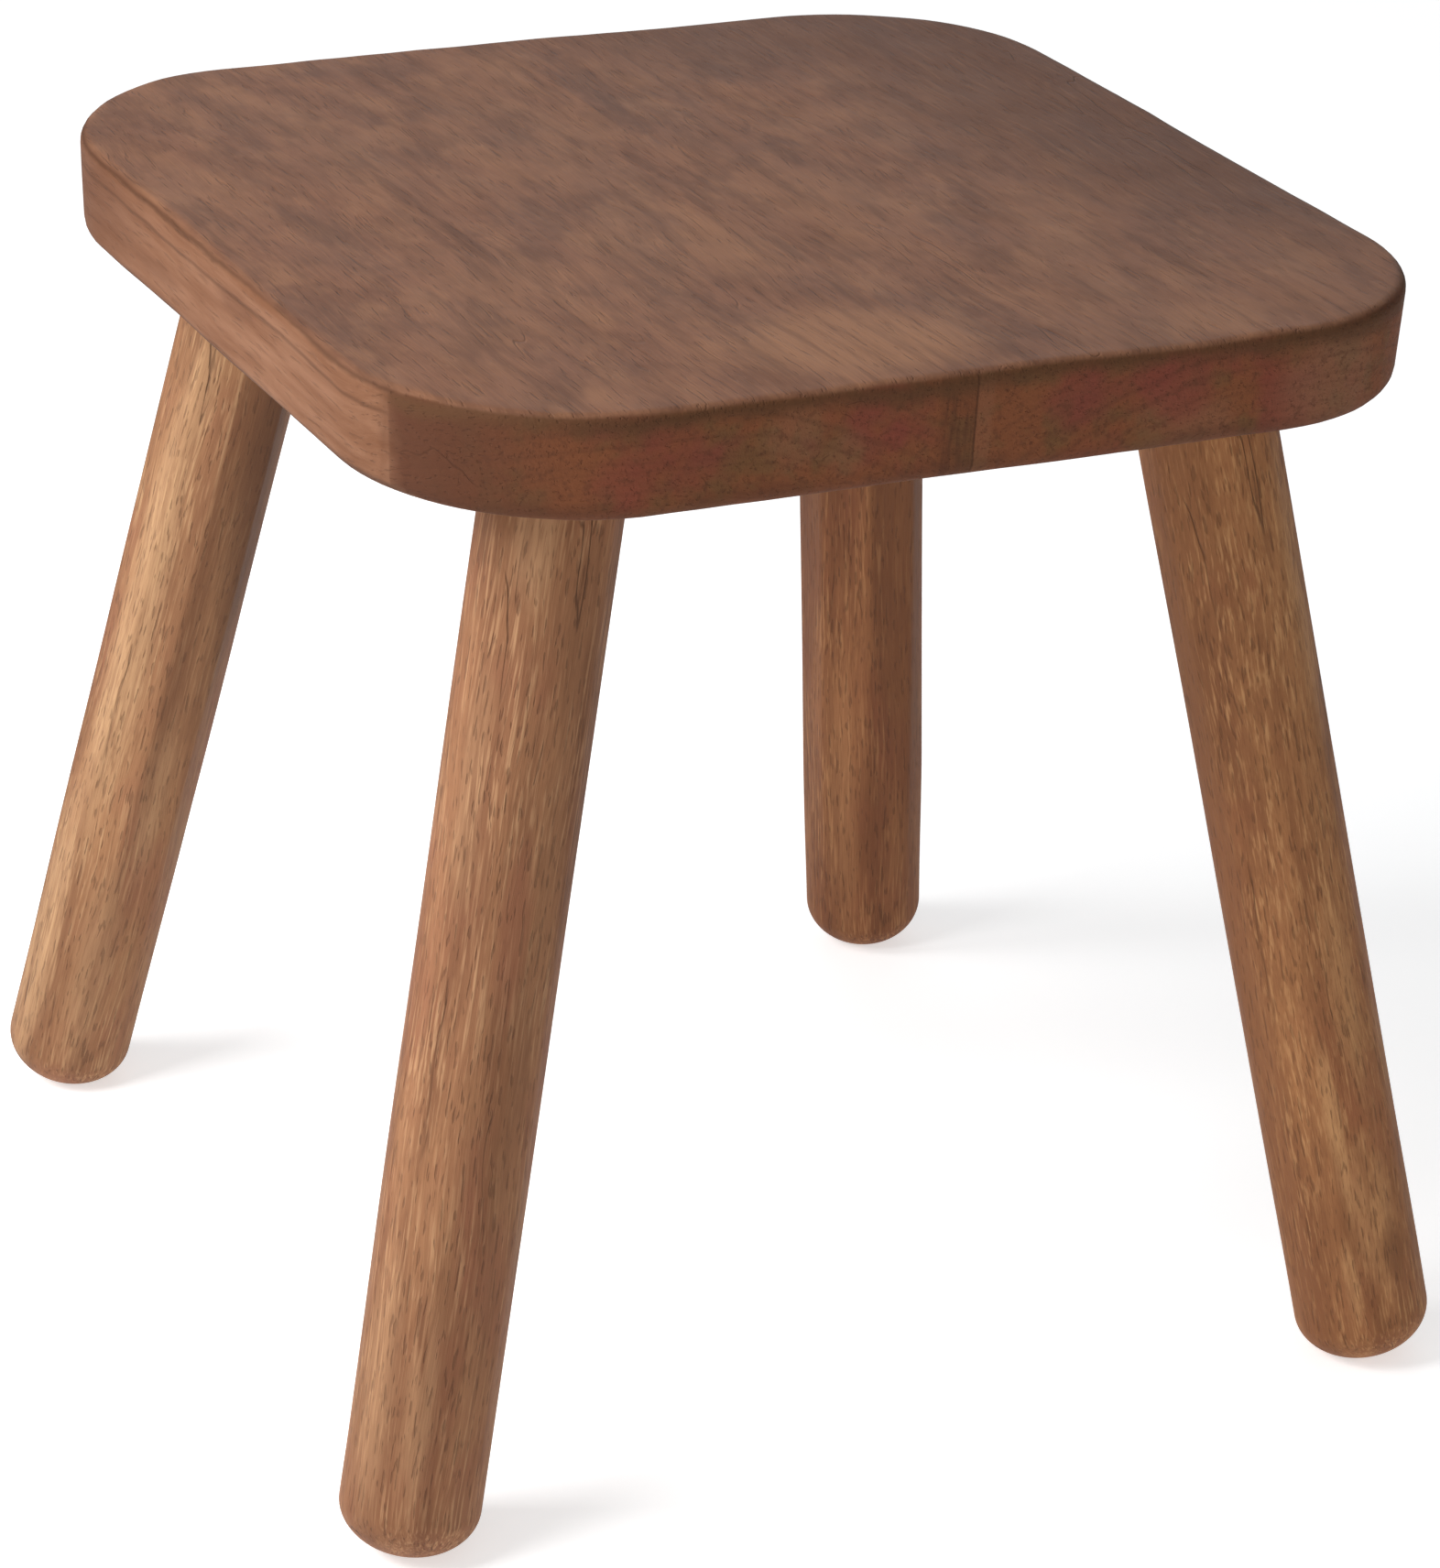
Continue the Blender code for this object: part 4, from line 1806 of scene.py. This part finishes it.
@dataclass
class Studio:
    """A pale floor, soft light mostly from the left, and the camera."""

    floor_radius: float = 8.0
    floor_segments: int = 96
    floor_tint: Tint = (0.80, 0.80, 0.80)
    floor_unevenness: float = 1.02
    floor_glow: float = 0.56
    sky_tint: Tint = (0.95, 0.98, 1.0)
    sky_strength: float = 0.28
    window: Softbox = Softbox("window", azimuth=-93, elevation=42, distance=1.25, size=0.8, power=20.0)
    back_wall: Softbox = Softbox(
        "back_wall", azimuth=153, elevation=26, distance=3.2, size=2.6, power=15.0, tint=(0.92, 0.95, 1.0)
    )
    front_wall: Softbox = Softbox("front_wall", azimuth=-40, elevation=28, distance=2.6, size=1.6, power=6.0)
    camera_azimuth: float = -27.053
    camera_elevation: float = 24.198
    camera_roll: float = 2.729
    camera_distance: float = 1.43
    camera_aim: tuple[float, float, float] = (-0.01217, -0.03672, 0.14808)
    lens: float = 123.18
    sensor_width: float = 36.0

    def build(self) -> None:
        """Set up the floor, the lights and the camera."""
        self._floor()
        self._sky()
        for softbox in (self.window, self.back_wall, self.front_wall):
            softbox.hang(Vector(self.camera_aim))
        self._camera()

    def _floor(self) -> None:
        """Lay a round pale floor at the height of the feet."""
        disc = bmesh.new()
        bmesh.ops.create_circle(
            disc, cap_ends=True, segments=self.floor_segments, radius=self.floor_radius
        )
        floor = to_object("floor", disc)
        material, bench, shader = new_material("pale_floor")
        place = bench.add("ShaderNodeTexCoord").outputs["Object"]
        cloud = bench.step(bench.noise(place, 1.5, 2.0), 0.3, 0.7)
        paler = tuple(part * self.floor_unevenness for part in self.floor_tint)
        bench.feed(shader.inputs["Base Color"], bench.mix(cloud, self.floor_tint, paler))
        shader.inputs["Roughness"].default_value = 0.9
        shader.inputs["Specular IOR Level"].default_value = 0.1
        shader.inputs["Emission Color"].default_value = (1.0, 1.0, 1.0, 1.0)
        shader.inputs["Emission Strength"].default_value = self.floor_glow
        floor.data.materials.append(material)

    def _sky(self) -> None:
        """Light the scene evenly from all round."""
        world = bpy.data.worlds.new("studio")
        world.use_nodes = True
        background = world.node_tree.nodes["Background"]
        background.inputs["Color"].default_value = (*self.sky_tint, 1.0)
        background.inputs["Strength"].default_value = self.sky_strength
        bpy.context.scene.world = world

    def _camera(self) -> None:
        """Place the camera on its line of sight and roll it."""
        camera = bpy.data.cameras.new("camera")
        camera.lens = self.lens
        camera.sensor_width = self.sensor_width
        camera.sensor_fit = "AUTO"
        holder = bpy.data.objects.new("camera", camera)
        towards = direction(self.camera_azimuth, self.camera_elevation)
        level_right = Vector((0, 0, 1)).cross(towards).normalized()
        level_up = towards.cross(level_right)
        roll = math.radians(self.camera_roll)
        right = math.cos(roll) * level_right + math.sin(roll) * level_up
        up = towards.cross(right)
        turn = Matrix((right, up, towards)).transposed().to_4x4()
        eye = Vector(self.camera_aim) + towards * self.camera_distance
        holder.matrix_world = Matrix.Translation(eye) @ turn
        bpy.context.scene.collection.objects.link(holder)
        bpy.context.scene.camera = holder


# ------------------------------------------------------------------------------ the stool


def main() -> None:
    """Build the stool and its studio, piece by piece."""
    logging.basicConfig(level=logging.INFO, format="%(name)s %(message)s")
    bpy.context.scene.view_settings.view_transform = "Standard"
    plan = StoolPlan.from_frame()
    effects = WoodEffects.build()
    seat_finish = SeatFinish()
    leg_finish = LegFinish()
    speckled_finish = LegFinish(streak_length=0.020, fine_length=0.009)
    for side in BoardSide:
        SeatBoard(side, plan).build(seat_finish, effects)
    legs = (
        Leg(Corner.FRONT_LEFT, plan, seed=1, tone=(1.03, 1.06, 1.22), marks=FRONT_LEFT_MARKS),
        Leg(Corner.FRONT_RIGHT, plan, seed=2, tone=(1.17, 1.13, 1.08), marks=FRONT_RIGHT_MARKS),
        Leg(
            Corner.BACK_RIGHT,
            plan,
            seed=3,
            tone=(0.88, 0.79, 0.76),
            marks=BACK_RIGHT_MARKS,
            flats=8,
            flat_share=0.85,
            flats_from=0.070,
            edge_azimuth=-20,
            softening=0.05,
        ),
        Leg(
            Corner.BACK_LEFT,
            plan,
            seed=4,
            tone=(1.06, 1.15, 1.32),
            marks=BACK_LEFT_MARKS,
            flats=8,
            flat_share=0.90,
            flats_from=0.120,
            edge_azimuth=-16,
            softening=0.03,
        ),
    )
    for leg in legs:
        leg.build(speckled_finish if leg.corner is Corner.FRONT_RIGHT else leg_finish, effects)
    HiddenJoinery(plan, BareWoodFinish()).dress(effects)
    Studio().build()


if __name__ == "__main__":
    main()
